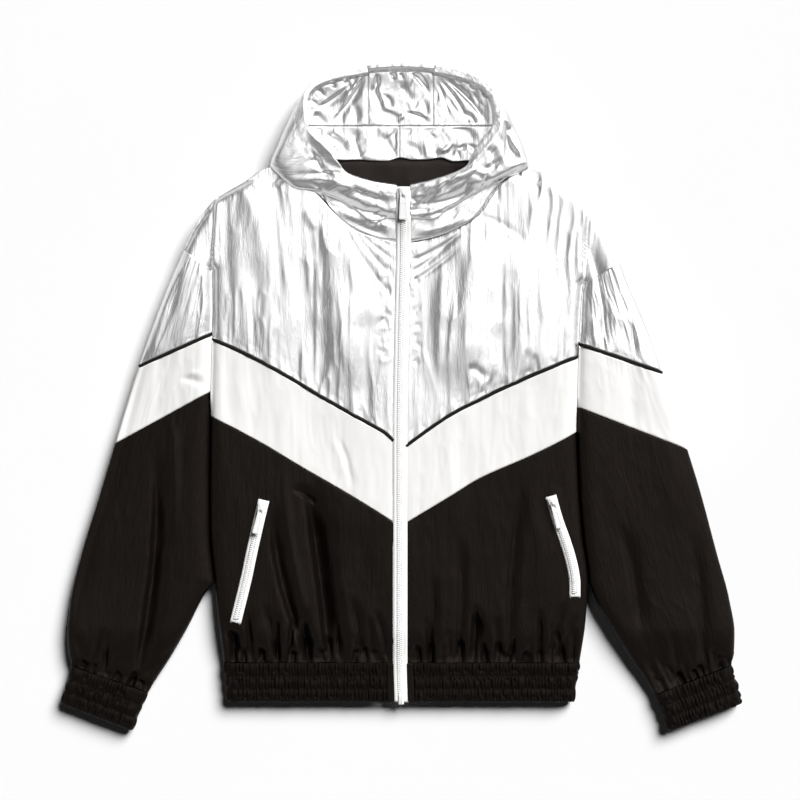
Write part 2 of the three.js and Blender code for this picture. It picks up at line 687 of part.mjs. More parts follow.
// The elastic hem runs from the zip round the back to the zip again, between its two plain tabs.
function addHem() {
  const rows = [0, 1 / 6, 1 / 3, 1 / 2, 2 / 3, 5 / 6, 1];
  const front = (side, up, bulge) => {
    const sign = SIDES[side];
    const { body, bodyEdges } = LINES[side];
    const inside = zipLine(up) + sign * (ZIP_WIDTH / 2 + TAB_WIDTH + 2 * GAP);
    return placesAcross(inside, body(up), roll(up)).map((x) => (
      new THREE.Vector3(x, up, topHeight(bodyEdges, x, up) + bulge)
    ));
  };
  const back = (side, up) => {
    const { body, bodyEdges } = LINES[side];
    const spots = placesAcross(0, body(up), Math.min(UNDER_ROLL, roll(up)), BACK_SPANS);
    return spots.slice(0, -1).map((x) => new THREE.Vector3(x, up, underHeight(bodyEdges, x, up)));
  };
  const grid = rows.map((share) => {
    const up = share * HEM_HEIGHT;
    const bulge = swell(share);
    return [
      ...front('right', up, bulge),
      ...back('right', up).reverse(),
      ...back('left', up).slice(1),
      ...front('left', up, bulge).reverse(),
    ];
  });
  add('hem_band', cloth(grid, { facing: DOWNWARD }), 'black');
  for (const side of Object.keys(SIDES)) {
    const sign = SIDES[side];
    const tab = [0, 0.25, 0.5, 0.75, 1].map((share) => {
      const up = share * HEM_HEIGHT;
      return [0, 1].map((end) => {
        const x = zipLine(up) + sign * (ZIP_WIDTH / 2 + GAP + end * TAB_WIDTH);
        return new THREE.Vector3(x, up, topHeight(LINES[side].bodyEdges, x, up));
      });
    });
    add(`hem_tab_${side}`, cloth(tab, { wall: 2 }), 'black');
  }
}

// One ring of a sleeve, round its top and back along its underside.
function sleeveRing(side, outerUp, innerUp, bulge = 0) {
  const { outer, inner, sleeveEdges } = LINES[side];
  const place = (share, height, extra) => {
    const x = mix(outer(outerUp), inner(innerUp), share);
    const up = mix(outerUp, innerUp, share);
    return new THREE.Vector3(x, up, height(sleeveEdges, x, up) + extra);
  };
  const under = RING_STEPS.slice(1, -1).reverse();
  return [
    ...RING_STEPS.map((share) => place(share, topHeight, bulge * Math.sin(Math.PI * share))),
    ...under.map((share) => place(share, underHeight, 0)),
  ];
}

function addSleeve(side) {
  const stop = (name, shift = 0) => {
    const seam = SLEEVE_SEAMS[name][side];
    return { outer: seam.outer + shift, inner: seam.inner + shift };
  };
  const tube = (name, low, high, shares, finish, options = {}) => {
    const rings = shares.map((share) => {
      const bulge = options.swells ? swell(share) : (options.lift ?? 0);
      return sleeveRing(side, mix(low.outer, high.outer, share), mix(low.inner, high.inner, share), bulge);
    });
    const settings = { facing: outward(side), closed: true, probe: 0, ...options };
    add(`${name}_${side}`, cloth(rings, settings), finish);
  };
  const half = PIPING_WIDTH / 2;
  const cuffRows = [0, 1 / 6, 1 / 3, 1 / 2, 2 / 3, 5 / 6, 1];
  const lowerRows = [0, 0.07, 0.18, 0.34, 0.52, 0.76, 1];
  const headRows = [0, 0.3, 0.6, 0.8, 1];
  tube('sleeve_top', stop('piping', half + GAP * 1.5), stop('armhole', -GAP * 3), headRows, 'silver');
  tube('sleeve_piping', stop('piping', -half), stop('piping', half), [0, 1], 'piping', {
    wall: PIPING_WALL,
    lift: PIPING_LIFT,
  });
  tube('sleeve_band', stop('bandEnd', GAP / 2), stop('piping', -half - GAP * 1.5), [0, 0.5, 1], 'white');
  tube('sleeve_lower', stop('cuff', GAP), stop('bandEnd', -GAP / 2), lowerRows, 'black');
  tube('cuff', stop('cuffEnd'), stop('cuff'), cuffRows, 'black', { swells: true });
}

// One section of the hood: round from its edge to the outer fold, then under and in to its seam.
function hoodSection(side, { edge, fold, seam, over }) {
  const { bodyEdges } = LINES[side];
  const [edgePoint, foldPoint] = [new THREE.Vector3(...edge), new THREE.Vector3(...fold)];
  const base = over === ON_GROUND ? 0 : topHeight(bodyEdges, ...seam) + over;
  const seamPoint = new THREE.Vector3(...seam, base);
  const flat = new THREE.Vector2(seamPoint.x - foldPoint.x, seamPoint.y - foldPoint.y);
  const bendShare = Math.min(1, UNDER_ROLL / flat.length());
  const points = [0, 0.25, 0.5, 0.75, 1].map((share) => {
    const angle = (share * Math.PI) / 2;
    const point = edgePoint.clone().lerp(foldPoint, Math.sin(angle));
    point.z = mix(foldPoint.z, edgePoint.z, Math.cos(angle));
    return point;
  });
  for (const share of [0.35, 0.7, 1]) {
    const angle = (share * Math.PI) / 2;
    const point = foldPoint.clone().lerp(seamPoint, bendShare * (1 - Math.cos(angle)));
    point.z = mix(foldPoint.z, base, Math.sin(angle));
    points.push(point);
  }
  points.push(foldPoint.clone().setZ(base).lerp(seamPoint, mix(bendShare, 1, 0.5)));
  points.push(seamPoint);
  return points;
}

// The lip of the hood's opening as one line from the zip's right side round to its left side.
const LIP = [...HOOD.right, ...[...HOOD.left].reverse()].map((row) => row.edge);

// The inside of the hood: flat on the outer cloth, rising to the lip near the edge.
const LINING_FLOOR = WALL + GAP + LINING_WALL;
const LINING_REACH = 34;
const LINING_INSET = 4;
function liningPoint(x, up) {
  let best = { distance: Infinity, height: 0 };
  for (let i = 0; i + 1 < LIP.length; i += 1) {
    const distance = distanceTo([LIP[i], LIP[i + 1]], x, up);
    if (distance < best.distance) best = { distance, height: (LIP[i][2] + LIP[i + 1][2]) / 2 };
  }
  const near = clamp(1 - (best.distance - LINING_INSET) / LINING_REACH);
  const height = mix(LINING_FLOOR, best.height - LINING_INSET, near ** 2.2);
  return new THREE.Vector3(x, up, height);
}

// Upper rim of the opening at x, and its side rim at a height.
const rimRows = LIP.filter((edge) => edge[1] > 752).map(([x, up]) => ({ x, up }));
const rimUp = curve(rimRows, 'x', 'up');
const lipSide = (side) => {
  const rows = HOOD[side].filter(({ edge }) => edge[1] > 660 && edge[1] < 762);
  return curve(rows.map(({ edge }) => ({ x: edge[0], up: edge[1] })), 'up', 'x');
};

function addHood() {
  for (const side of Object.keys(SIDES)) {
    const sections = HOOD[side].map((row) => hoodSection(side, row));
    add(`hood_side_${side}`, cloth(sections, { probe: 1 }), 'silver');
  }
  const spots = (from, to, count) => Array.from({ length: count + 1 }, (_, i) => mix(from, to, i / count));
  const crown = (x) => HOOD_RIM_TOP - 0.0016 * (x - 1) ** 2;
  const centre = spots(HOOD_CENTRE.right - 0.6, HOOD_CENTRE.left + 0.6, 6).map((x) => {
    const top = crown(x);
    const flat = spots(BACK_NECK + 1, top - UNDER_ROLL, 4).map((up) => new THREE.Vector3(x, up, 0));
    const bent = [0.35, 0.7, 1].map((share) => {
      const angle = (share * Math.PI) / 2;
      const up = top - UNDER_ROLL * (1 - Math.sin(angle));
      return new THREE.Vector3(x, up, (1 - Math.cos(angle)) * 9);
    });
    return [...flat, ...bent, new THREE.Vector3(x, top - 2.6, HOOD_RIM_HEIGHT)];
  });
  add('hood_centre', cloth(centre, { facing: DOWNWARD }), 'silver');
  const lining = { wall: LINING_WALL };
  const rows = [0, 0.25, 0.5, 0.7, 0.85, 0.94, 1];
  const upper = (from, to, count) => spots(from, to, count).map((x) => rows.map((share) => (
    liningPoint(x, mix(STAND_TOP + GAP, rimUp(x) - LINING_INSET, share))
  )));
  const sideInset = (side) => SIDES[side] * -LINING_INSET;
  const seamX = HOOD_CENTRE;
  add('hood_lining_centre', cloth(upper(seamX.right + GAP / 2, seamX.left - GAP / 2, 5), lining), 'silver');
  for (const side of Object.keys(SIDES)) {
    const lip = lipSide(side);
    const limit = lip(STAND_TOP + 24) + sideInset(side);
    const inner = seamX[side] + SIDES[side] * (GAP / 2);
    add(`hood_lining_${side}`, cloth(upper(inner, limit, 6), lining), 'silver');
    const stand = [0, 0.33, 0.67, 1].map((share) => {
      const up = mix(BACK_NECK + GAP, STAND_TOP - GAP, share);
      const middle = CENTRE_BACK + SIDES[side] * (GAP / 2);
      return [0, 0.3, 0.6, 0.75, 0.88, 0.96, 1].map((across) => (
        liningPoint(mix(middle, lip(up) + sideInset(side), across), up)
      ));
    });
    add(`hood_stand_${side}`, cloth(stand, lining), 'silver');
  }
  const neck = [596, 640, BACK_NECK - GAP].map((up) => (
    spots(-92, 90, 6).map((x) => new THREE.Vector3(x, up, LINING_FLOOR))
  ));
  add('neck_lining', cloth(neck, lining), 'black');
}

// The front zip: two tapes with the closed chain between them, sunk a little into the fronts.
const TAPE_SINK = 1.2;
const zipHeight = (up) => {
  const laid = up > 540 ? neckRise(up) : thickness(up);
  return laid - TAPE_SINK;
};

function zipStations(from, to) {
  const count = Math.round((to - from) / 24);
  return Array.from({ length: count + 1 }, (_, i) => {
    const up = mix(from, to, i / count);
    return {
      centre: new THREE.Vector3(zipLine(up), up, zipHeight(up) - TAPE_WALL / 2),
      across: new THREE.Vector3(1, 0, 0),
    };
  });
}

function roundedPlate(halfTop, halfBottom, top, bottom, radius, holes = []) {
  const shape = new THREE.Shape();
  shape.moveTo(-halfBottom + radius, bottom);
  shape.lineTo(halfBottom - radius, bottom);
  shape.quadraticCurveTo(halfBottom, bottom, halfBottom, bottom + radius);
  shape.lineTo(halfTop, top - radius);
  shape.quadraticCurveTo(halfTop, top, halfTop - radius, top);
  shape.lineTo(-halfTop + radius, top);
  shape.quadraticCurveTo(-halfTop, top, -halfTop, top - radius);
  shape.lineTo(-halfBottom, bottom + radius);
  shape.quadraticCurveTo(-halfBottom, bottom, -halfBottom + radius, bottom);
  shape.holes.push(...holes);
  return shape;
}

function plate(shape, depth, low) {
  const geometry = new THREE.ExtrudeGeometry(shape, { depth, bevelEnabled: false, curveSegments: 3 });
  return geometry.translate(0, 0, low);
}

function box(width, length, height, x, y, low) {
  return new THREE.BoxGeometry(width, length, height).translate(x, y, low + height / 2);
}

// A slider on the chain's middle, with the bail that holds its pull tab. The front zip's slider has
// a plate on both sides of the chain and a post between its two plates above the chain's end.
function sliderGeometry(withBack) {
  const { length, half, nose, plate: thick, clear } = SLIDER;
  const low = CHAIN_HEIGHT / 2 + clear;
  const shape = roundedPlate(half, nose, length / 2, -length / 2, 1.8);
  const axis = low + thick + PULL.rise;
  const legFoot = low + thick / 2;
  const outer = BAIL.inner + BAIL.bar;
  const legs = [-1, 1].map((end) => (
    box(2 * BAIL.half, BAIL.bar, axis + outer - legFoot, 0, end * (BAIL.inner + BAIL.bar / 2), legFoot)
  ));
  const bridge = box(2 * BAIL.half, 2 * outer, BAIL.bar, 0, 0, axis + BAIL.inner);
  const pieces = [plate(shape, thick, low), ...legs, bridge];
  if (withBack) {
    pieces.push(plate(shape, thick, -low - thick));
    pieces.push(box(2.4, 2.2, 2 * low + thick, 0, length / 2 - 1.6, -low - thick / 2));
  }
  return joined(pieces);
}

function pullGeometry(half) {
  const { length, thick, window: gap, reach } = PULL;
  const hole = new THREE.Path();
  const start = -thick / 2;
  hole.moveTo(-gap, start);
  hole.lineTo(-gap, -reach);
  hole.lineTo(gap, -reach);
  hole.lineTo(gap, start);
  hole.lineTo(-gap, start);
  const shape = roundedPlate(half * 0.8, half, thick / 2, thick / 2 - length, 0.6, [hole]);
  return plate(shape, thick, -thick / 2);
}

function addSlider(prefix, place, { turn = 0, tilt = 0, withBack = false, pullHalf }) {
  const group = new THREE.Group();
  group.position.copy(place);
  group.rotation.set(tilt, 0, turn);
  jacket.add(group);
  add(`${prefix}_slider`, sliderGeometry(withBack), 'enamel', group);
  const pull = add(`${prefix}_pull`, pullGeometry(pullHalf), 'enamel', group);
  pull.position.z = CHAIN_HEIGHT / 2 + SLIDER.clear + SLIDER.plate + PULL.rise;
}

const CHAIN_LIFT = 0.6;
const FRONT_SLIDER_UP = 632.5;
function addFrontZip() {
  for (const side of Object.keys(SIDES)) {
    const sign = SIDES[side];
    const edges = [CHAIN_WIDTH / 2 + GAP, ZIP_WIDTH / 2];
    const tape = zipStations(0, ZIP_TOP).map(({ centre }) => edges.map((x) => (
      new THREE.Vector3(centre.x + sign * x, centre.y, centre.z + TAPE_WALL / 2)
    )));
    add(`zip_tape_${side}`, cloth(tape, { wall: TAPE_WALL }), 'tape');
  }
  const lift = new THREE.Vector3(0, 0, CHAIN_LIFT);
  const chain = zipStations(ZIP_BOTTOM, FRONT_SLIDER_UP + 5.4);
  chain.forEach(({ centre }) => centre.add(lift));
  add('zip_chain', bar(chain, CHAIN_WIDTH, CHAIN_HEIGHT), 'teeth');
  const boxAt = new THREE.Vector3(zipLine(0), 3.6, zipHeight(3.6) - TAPE_WALL / 2 + CHAIN_LIFT);
  const boxFoot = boxAt.z - CHAIN_HEIGHT / 2;
  const catchBox = box(CHAIN_WIDTH - 2 * GAP, 13, CHAIN_HEIGHT + 1, boxAt.x, boxAt.y, boxFoot);
  add('zip_box', catchBox, 'teeth');
  const [middle, above] = [FRONT_SLIDER_UP, FRONT_SLIDER_UP + 10].map((up) => (
    new THREE.Vector3(zipLine(up), up, zipHeight(up) - TAPE_WALL / 2 + CHAIN_LIFT)
  ));
  const tilt = Math.atan2(above.z - middle.z, above.y - middle.y);
  addSlider('zip', middle, { tilt, withBack: true, pullHalf: 5.5 });
}

// A pocket zip lies on the lower front: each of its points is dropped onto that panel.
function addPocket(side) {
  const panel = jacket.getObjectByName(`front_lower_${side}`);
  panel.updateMatrixWorld(true);
  const caster = new THREE.Raycaster();
  const onPanel = (x, up) => {
    caster.set(new THREE.Vector3(x, up, 100), DOWNWARD);
    return caster.intersectObject(panel)[0].point.z;
  };
  const path = new THREE.CatmullRomCurve3(POCKETS[side].map(({ x, up }) => new THREE.Vector3(x, up, 0)));
  const stations = path.getSpacedPoints(14).map((point, i) => {
    const along = path.getTangentAt(i / 14);
    return { point, across: new THREE.Vector3(-along.y, along.x, 0) };
  });
  const half = POCKET_ZIP_WIDTH / 2;
  const reaches = [-half, 0, half];
  const lift = 2 * GAP + TAPE_WALL;
  const tape = stations.map(({ point, across }) => reaches.map((reach) => {
    const spot = point.clone().addScaledVector(across, reach);
    return spot.setZ(onPanel(spot.x, spot.y) + lift);
  }));
  add(`pocket_tape_${side}`, cloth(tape, { wall: TAPE_WALL }), 'tape');
  const rise = GAP + CHAIN_HEIGHT / 2;
  const chain = stations.slice(1, -1).map(({ across }, i) => ({
    centre: tape[i + 1][1].clone().add(new THREE.Vector3(0, 0, rise)),
    across,
  }));
  add(`pocket_chain_${side}`, bar(chain, CHAIN_WIDTH, CHAIN_HEIGHT), 'teeth');
  const at = chain[0].centre;
  const next = chain[1].centre;
  const angle = Math.atan2(at.x - next.x, next.y - at.y) + Math.PI;
  addSlider(`pocket_${side}`, at.clone(), { turn: angle, pullHalf: 4.25 });
}

for (const side of Object.keys(SIDES)) {
  addFront(side);
  addSleeve(side);
}
addBack();
addHem();
addHood();
addFrontZip();
for (const side of Object.keys(SIDES)) addPocket(side);

// The origin is the middle of the laid jacket's outline, on the ground.
jacket.updateMatrixWorld(true);
const bounds = new THREE.Box3().setFromObject(jacket);
const centre = bounds.getCenter(new THREE.Vector3());
jacket.position.set(-centre.x, -centre.y, -bounds.min.z);

export default jacket;
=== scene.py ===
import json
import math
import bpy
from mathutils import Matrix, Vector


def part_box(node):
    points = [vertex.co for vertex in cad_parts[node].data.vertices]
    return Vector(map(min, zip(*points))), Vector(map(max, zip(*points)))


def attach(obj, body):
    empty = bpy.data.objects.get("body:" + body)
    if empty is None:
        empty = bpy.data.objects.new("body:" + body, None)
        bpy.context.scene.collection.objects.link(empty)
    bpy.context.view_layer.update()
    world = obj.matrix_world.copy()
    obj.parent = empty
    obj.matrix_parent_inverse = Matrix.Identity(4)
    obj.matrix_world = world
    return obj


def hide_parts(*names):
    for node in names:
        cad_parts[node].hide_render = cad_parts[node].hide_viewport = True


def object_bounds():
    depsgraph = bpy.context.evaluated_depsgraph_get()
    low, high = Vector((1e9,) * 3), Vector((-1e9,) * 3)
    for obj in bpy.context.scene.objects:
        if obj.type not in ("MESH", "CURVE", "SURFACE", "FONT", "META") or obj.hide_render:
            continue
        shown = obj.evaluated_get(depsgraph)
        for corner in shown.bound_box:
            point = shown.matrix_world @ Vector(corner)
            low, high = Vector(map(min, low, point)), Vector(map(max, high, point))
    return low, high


bl_info = {
    "name": "Hooded Track Jacket",
    "version": (1, 0, 0),
    "blender": (4, 5, 0),
    "location": "View3D > Sidebar > Jacket",
    "description": "Makes a zipped, hooded track jacket laid flat, with its elastic, zips and stitching",
    "category": "Object",
}

import bpy
import numpy as np
from mathutils import Vector

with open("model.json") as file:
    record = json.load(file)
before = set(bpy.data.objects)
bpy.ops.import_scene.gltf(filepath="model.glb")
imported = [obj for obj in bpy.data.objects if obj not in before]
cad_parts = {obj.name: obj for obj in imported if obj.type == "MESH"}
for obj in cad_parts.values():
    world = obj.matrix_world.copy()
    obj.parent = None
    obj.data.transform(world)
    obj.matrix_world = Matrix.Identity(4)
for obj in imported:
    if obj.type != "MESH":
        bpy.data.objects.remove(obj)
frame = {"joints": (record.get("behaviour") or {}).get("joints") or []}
CAD_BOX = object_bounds()

# Millimetres in the tables and grids below. "up" is the distance from the hem towards the hood,
# right and left are the wearer's own, and the right side lies at negative x.
MM = 0.001
SIDES = {"right": -1, "left": 1}
FOLD_SHARE = 0.48  # height of a side fold as a share of the garment's thickness
UNDER_ROLL = 14
HEM_HEIGHT = 49.4
CHANNELS = 3
PIPING_WIDTH = 3.6
SHOULDER_END = 630
TAB_WIDTH = 9
ZIP_WIDTH = 16
ZIP_TOP = 642
TAPE_OVERLAP = 1.0  # how far a tape's edge lies over the cloth beside it
TAPE_SINK = 0.25
TAPE_WALL = 1.0  # of the tapes and the chain between the slider's plates
CHAIN_LIFT = 0.6
POCKET_ZIP_WIDTH = 14
SEAM_GAP = 0.15
SLEEVE_CLEARANCE = 0.4
SLEEVE_SAG = {"right": 9, "left": 2}
SLEEVE_WIDTH = 150
SLEEVE_ROLL = 0.17  # share of the width that rolls over at each fold
SLEEVE_LEAN = 0.196  # how far the sleeve leans out for each step up
CUFF_WIDTH = 92
CUFF_LENGTH = 50
CUFF_ROLL = 0.14
RIB_HOLD = 0.55  # share of the ribs' depth that is left at a fold
ARMHOLE_X = 150  # the fronts lie beside the armhole beyond this
SHOULDER_POINT = (163, 667)
SHOULDER_STITCH = 7  # rows of stitches: their distance from the seam or edge beside them
POCKET_STITCH = 1.6
ZIP_STITCH = 1.2
CASING_STITCH = 10.6
FREE_SLEEVE_TOP = 148
HOOD_CENTRE = {"right": -40, "left": 42}
STAND_TOP = 722
BACK_NECK = 679
CENTRE_BACK = -1
LINING_FLOOR = 2.9
LINING_REACH = 30
LOBE_FULLNESS = {"right": 3.3, "left": 2.8}  # 2 is a quarter ellipse, more is fuller
HOOD_RIM_TOP = 799
LINING_LOW = 0.9  # no part of the hood's lining sinks lower than this
SLIDER_UP = 632.5
SLIDER_SINK = 0.72  # brings the front pull's axle onto its joint
STOPS_UP = 641
TOOTH_LENGTH = 1.6  # along the zip
AXLE_HEIGHT = 4.2  # of a pull's axle above the middle of its slider
PULL_HALF_WIDTH = {"front": 5.5, "pocket": 4.25}
CORD_WALL = 0.5
TAPE_THICKNESS = 0.8
DOWN = (0, 0, -1)


def table(names, text):
    """Columns by name, from rows of numbers parted by semicolons; a # starts a note."""
    numbers = " ".join(line.split("#")[0] for line in text.splitlines()).replace(";", " ").split()
    names = names.split()
    return dict(zip(names, np.array(numbers, float).reshape(-1, len(names)).T))


def seam_line(text):
    """A line across the garment as rows of (x, up)."""
    return np.column_stack(list(table("x up", text).values()))


BODY_SIDES = table("up right left", """
    0 216 218; 50 221 225; 100 227 232; 150 231.5 235; 210 237.5 227.5; 270 238 223; 345 237 220.5;
    440 234.5 222.5; 500 233 225.5; 540 233 230;
""")
OUTER_FOLD = table("up right left", """
    -2 424 427.6; 22 418 422; 46 411.5 415; 60 415 418; 85 416 418.5; 130 411 411.5; 185 398 396.5;
    265 373.5 375; 320 357 358; 370 342 342; 420 326 325; 480 304.5 303.5; 520 289 286; 550 276 275;
    575 264.5 264.5; 605 248.5 248.5; 630 228 231.3; 648 196 198; 667 162 163.8;
""")
FREE_SLEEVE = table("up right left", """
    -37 335.5 336.5; 10 316 317.5; 57 286.5 286; 96 264 262.5; 128 248 244; 148 235 237;
""")
ZIP_LINE = table("up x", """
    -4 1.6; 60 0; 330 0; 465 1.8; 590 4.3; 645 4.3;
""")
THICKNESS = table("up height roll", """
    -40 17 12; 30 17.5 12; 52 19 13; 95 25 24; 300 26 24; 430 27 17; 570 27.5 16; 680 27.5 16;
""")
NECK_RISE = table("up height", """
    540 27.3; 574 28; 606 33.5; 645 35.5;
""")

# Where each ring of the sleeve meets its outer and its inner fold.
SLEEVE_SEAMS = {
    "armhole": {"right": (565, 539), "left": (549.5, 522)},
    "piping": {"right": (419, 459.6), "left": (411, 447)},
    "band": {"right": (323, 388), "left": (315.6, 368.8)},
    "cuff": {"right": (45.5, 12), "left": (46, 9)},
    "end": {"right": (-2, -36), "left": (-2, -37)},
}
# Seam lines across the fronts as (x, up), from the zip to the side.
PIPING = {
    "right": seam_line("0 318; -18 336; -43 350; -94 379; -153 414; -196 436.5; -238 455"),
    "left": seam_line("0 314; 9 321; 37 341.5; 67 361; 111 383.5; 160 406; 198 422; 226 433"),
}
BAND_END = {
    "right": seam_line("0 220; -31 240; -69 263; -120 292.5; -171 323; -209 343.5; -240 359"),
    "left": seam_line("0 220; 9 225.5; 62 257.5; 99 280; 160 307; 198 325.5; 224 340"),
}
FRONT_TOP = {
    "right": seam_line("""
        0 573.5; -25 578; -54 588; -77 605; -97 627; -108 639; -130 654; -162 667; -196 648; -228 630;
    """),
    "left": seam_line("""
        0 573.5; 16 573.5; 42 579.5; 71 590; 92 602; 107 619; 122 641; 138 655; 164 667; 198 648; 231.3 630;
    """),
}
BACK_TOP = seam_line("""
    -228 630; -196 648; -162 667; -130 673; -90 679; 90 679; 132 673; 164 667; 198 648; 231.3 630;
""")
POCKETS = {
    "right": seam_line("-169.4 253; -178 217; -184.6 187.5; -191 157; -198 128; -205 100"),
    "left": seam_line("187.5 258; 196 228; 204.5 204.5; 211 184; 215.5 165; 217.5 149; 217.5 132"),
}
# The hood from the zip round to its middle panel: the lip, the outer fold, then the seam below.
HOOD = {
    "right": table("ex eu ez fx fu fz sx su over", """
        -4 643.3 35.5 -4.2 606 33.5 -4.4 573.8 1; -34 647.6 36.5 -32 601 33.5 -25 578.3 1;
        -63 656 37.5 -58 616.5 34 -54 588.4 1; -92 671.5 38.5 -81 630.4 34 -77.2 605.6 1;
        -106 686 39.5 -104 637.4 33.5 -94.5 627.6 1; -113.4 698 40 -127 640 33 -105 640 1;
        -117 710 40 -146 652 30 -124 655 1; -118 720 40 -161.3 669.3 22 -146 665.8 1;
        -119 732 38.5 -152.5 694 16 -131 674.3 0; -119.6 745 35 -139.6 724 14 -90 679.6 0;
        -117.5 758 30 -121 760.5 12 -41 680 0; -107 772.5 26 -108.8 774.8 11 -41 715 0;
        -84 783.3 22.5 -85 785.8 10 -41 750 0; -41 793.6 19 -41 796.2 9 -41 776 0;
    """),
    "left": table("ex eu ez fx fu fz sx su over", """
        12.6 643.8 35.5 12.5 606 33.5 12.3 573.8 1; 36 648.4 36.5 38 603 33.5 42 579.9 1;
        62 656 37.5 62 616 34 70.8 590.4 1; 85 666.8 38.5 84.4 631 34 91.6 602.4 1;
        99.5 681 39.5 106 641.4 33.5 104 620 1; 110 693 40 127 652.8 32 119 642.5 1;
        118.5 705 40 146 659 29 134 656.5 1; 125 717 40 160.5 669.2 22 148 665.5 1;
        125.6 725 38.5 156.5 688 16 134 674.3 0; 124.5 735 36 142.5 720 14 90 679.6 0;
        121.5 748 32.5 130.5 742 13 43 680 0; 113.5 764 29 116.3 766.8 12 43 705 0;
        98 777 25.5 99.5 779.6 11 43 735 0; 74.5 787 22 75.5 789.6 10 43 757 0;
        43 794 19 43 796.6 9 43 776 0;
    """),
}

# Width of the casing that shows inside the hood's lip.
CASING = table("up right left", """
    640 0.6 0.6; 656 1 0.8; 665 9 2; 675 14 7; 686 13 11; 698 9 12; 712 4 10; 725 3 8; 762 4 6; 790 7 7;
""")

# Creases as soft troughs (deep above 0) and ridges (below 0): a line from one (x, up) to another
# that bows sideways by bend, with its own softness on its low-x and its high-x side.
FOLD = "x up to_x to_up bend low high deep"
CREASES = table(FOLD, """
    # lower right front
    -115 254 -90 56 2 4 17 18; -160 234 -112 50 -9 4 10 10; -143 272 -116 110 -5 6 6 -2.6;
    -131 266 -105 247 1 2 6 4.2; -60 128 -46 50 0 3 7 5; -38 104 -35 50 0 3 5 4.4; -168 118 -152 50 0 3 6 5;
    -137 98 -133 50 0 3 5 4.4; -217 90 -192 50 0 3 6 5; -60 215 -48 120 4 12 14 1.2;
    -92 205 -70 110 3 8 12 -1.3;
    # left sleeve head and band
    238 562 254 446 4 3 12 5; 284 505 291 437 1 1.5 5 2.4; 295 480 318 425 0 2 4 2.2;
    284 428 292 330 0 6 12 1.6;
    # lower left front
    74 196 70 50 3 4 8 6; 41 152 33 50 3 3 7 5; 100 108 102 50 0 3 6 4.4; 119 104 123 50 0 3 6 4;
    151 262 136 50 -6 4 9 5.5; 204 124 184 56 0 3 6 4; 217 106 195 50 0 3 6 4; 59 80 71 48 0 4 5 1.1;
    92 240 98 120 -5 10 14 1.2; 176 240 166 110 4 10 12 -1.2;
    # sleeves
    -304 290 -330 34 7 4 13 12; -284 350 -282 222 3 5 5 -2.6; -402 84 -394 36 0 4 4 3.6;
    -369 66 -366 24 0 3 4 3; -286 66 -318 32 0 4 4 3.4; -300 62 -335 14 3 5 5 1.6;
    276 215 298 90 4 4 10 5.5; 365 200 376 40 4 4 10 5; 340 84 351 14 0 4 5 3.4; 406 48 389 32 0 4 4 1.4;
    306 60 330 22 0 6 6 1.4; 322 330 340 220 4 14 14 -1.4;
    # the yoke's right side
    -212 630 -208 452 4 9 12 -1.6; -187 640 -185 540 2 10 26 -1.8; -177 622 -171 430 8 9 22 -2.2;
    -165 645 -163 510 2 2.6 7 -0.6; -153 640 -139 508 -2 3 8 -0.8; -135 646 -134 540 1 2.6 7 -0.6;
    -117 612 -104 590 0 5 7 -1.4; -94 616 -67 405 3 22 40 -4.4; -106 600 -105 405 2 3.4 6 -0.9;
    -76 520 -66 402 0 4 6 -0.9; -118 582 -113 510 0 2.2 5 -0.6; -206 518 -204 446 0 2.4 4 -0.6;
    -195 526 -192 436 0 2.6 5 -0.8; -162 462 -160 416 0 2.4 4 -0.7; -63 500 -58 400 0 2.6 5 -0.7;
    -53 460 -50 385 0 2.4 4 -0.5; -73 598 -8 505 -4 3 4 1; -58 590 -8 530 -3 3 4 1;
    -50 586 -6 550 -2 2.4 3 0.9; -36 580 -6 566 0 2.4 3 0.8; -75 592 -30 462 2 12 12 -1.2;
    # the yoke's left side
    12 569 78 594 0 3 4 1.3; 12 549 82 590 3 3 4 1.3; 13 535 66 577 2 3 4 1.2; 15 524 72 566 2 3 3.4 1;
    98 588 74 402 6 32 38 -5.2; 53 545 50 412 -2 5 9 -1.4; 66 520 60 420 2 4 8 -1.1;
    148 572 151 400 3 19 36 -3.8; 133 560 134 405 -3 3 5 -0.9; 194 494 193 424 0 2.4 5 -0.8;
    207 474 206 424 0 2.4 4 -0.6; 158 440 163 406 0 3 4 1.1; 167 434 172 410 0 3 4 1;
    100 606 153 577 3 2.4 5 1.1; 121 641 137 641 1 2.4 4 0.3; 88 420 108 404 0 4 5 1.6;
    # the silver sleeves
    -262 560 -285 430 5 10 24 -2.2; -246 545 -243 470 0 3 7 -1.4; -292 500 -312 430 0 8 14 -1.6;
    254 545 268 430 -4 7 16 -2.4; 270 540 300 430 4 8 12 1.8; 238 480 244 440 0 3 5 -1;
    286 500 305 420 0 7 12 -1.8;
    # the white band
    -74 327 -60 272 2 5 2.4 1.3; -84 330 -70 284 2 6 6 -0.8; -180 425 -178 330 0 12 12 0.9;
    -75 362 -74 268 0 12 12 0.9; 75 360 76 268 0 12 12 0.9; 150 398 158 308 0 10 14 -0.8;
    -272 404 -240 394 2 3.4 5 1.6; -262 412 -238 408 0 4 4 -0.8; -216 430 -215 350 0 6 10 0.9;
""")


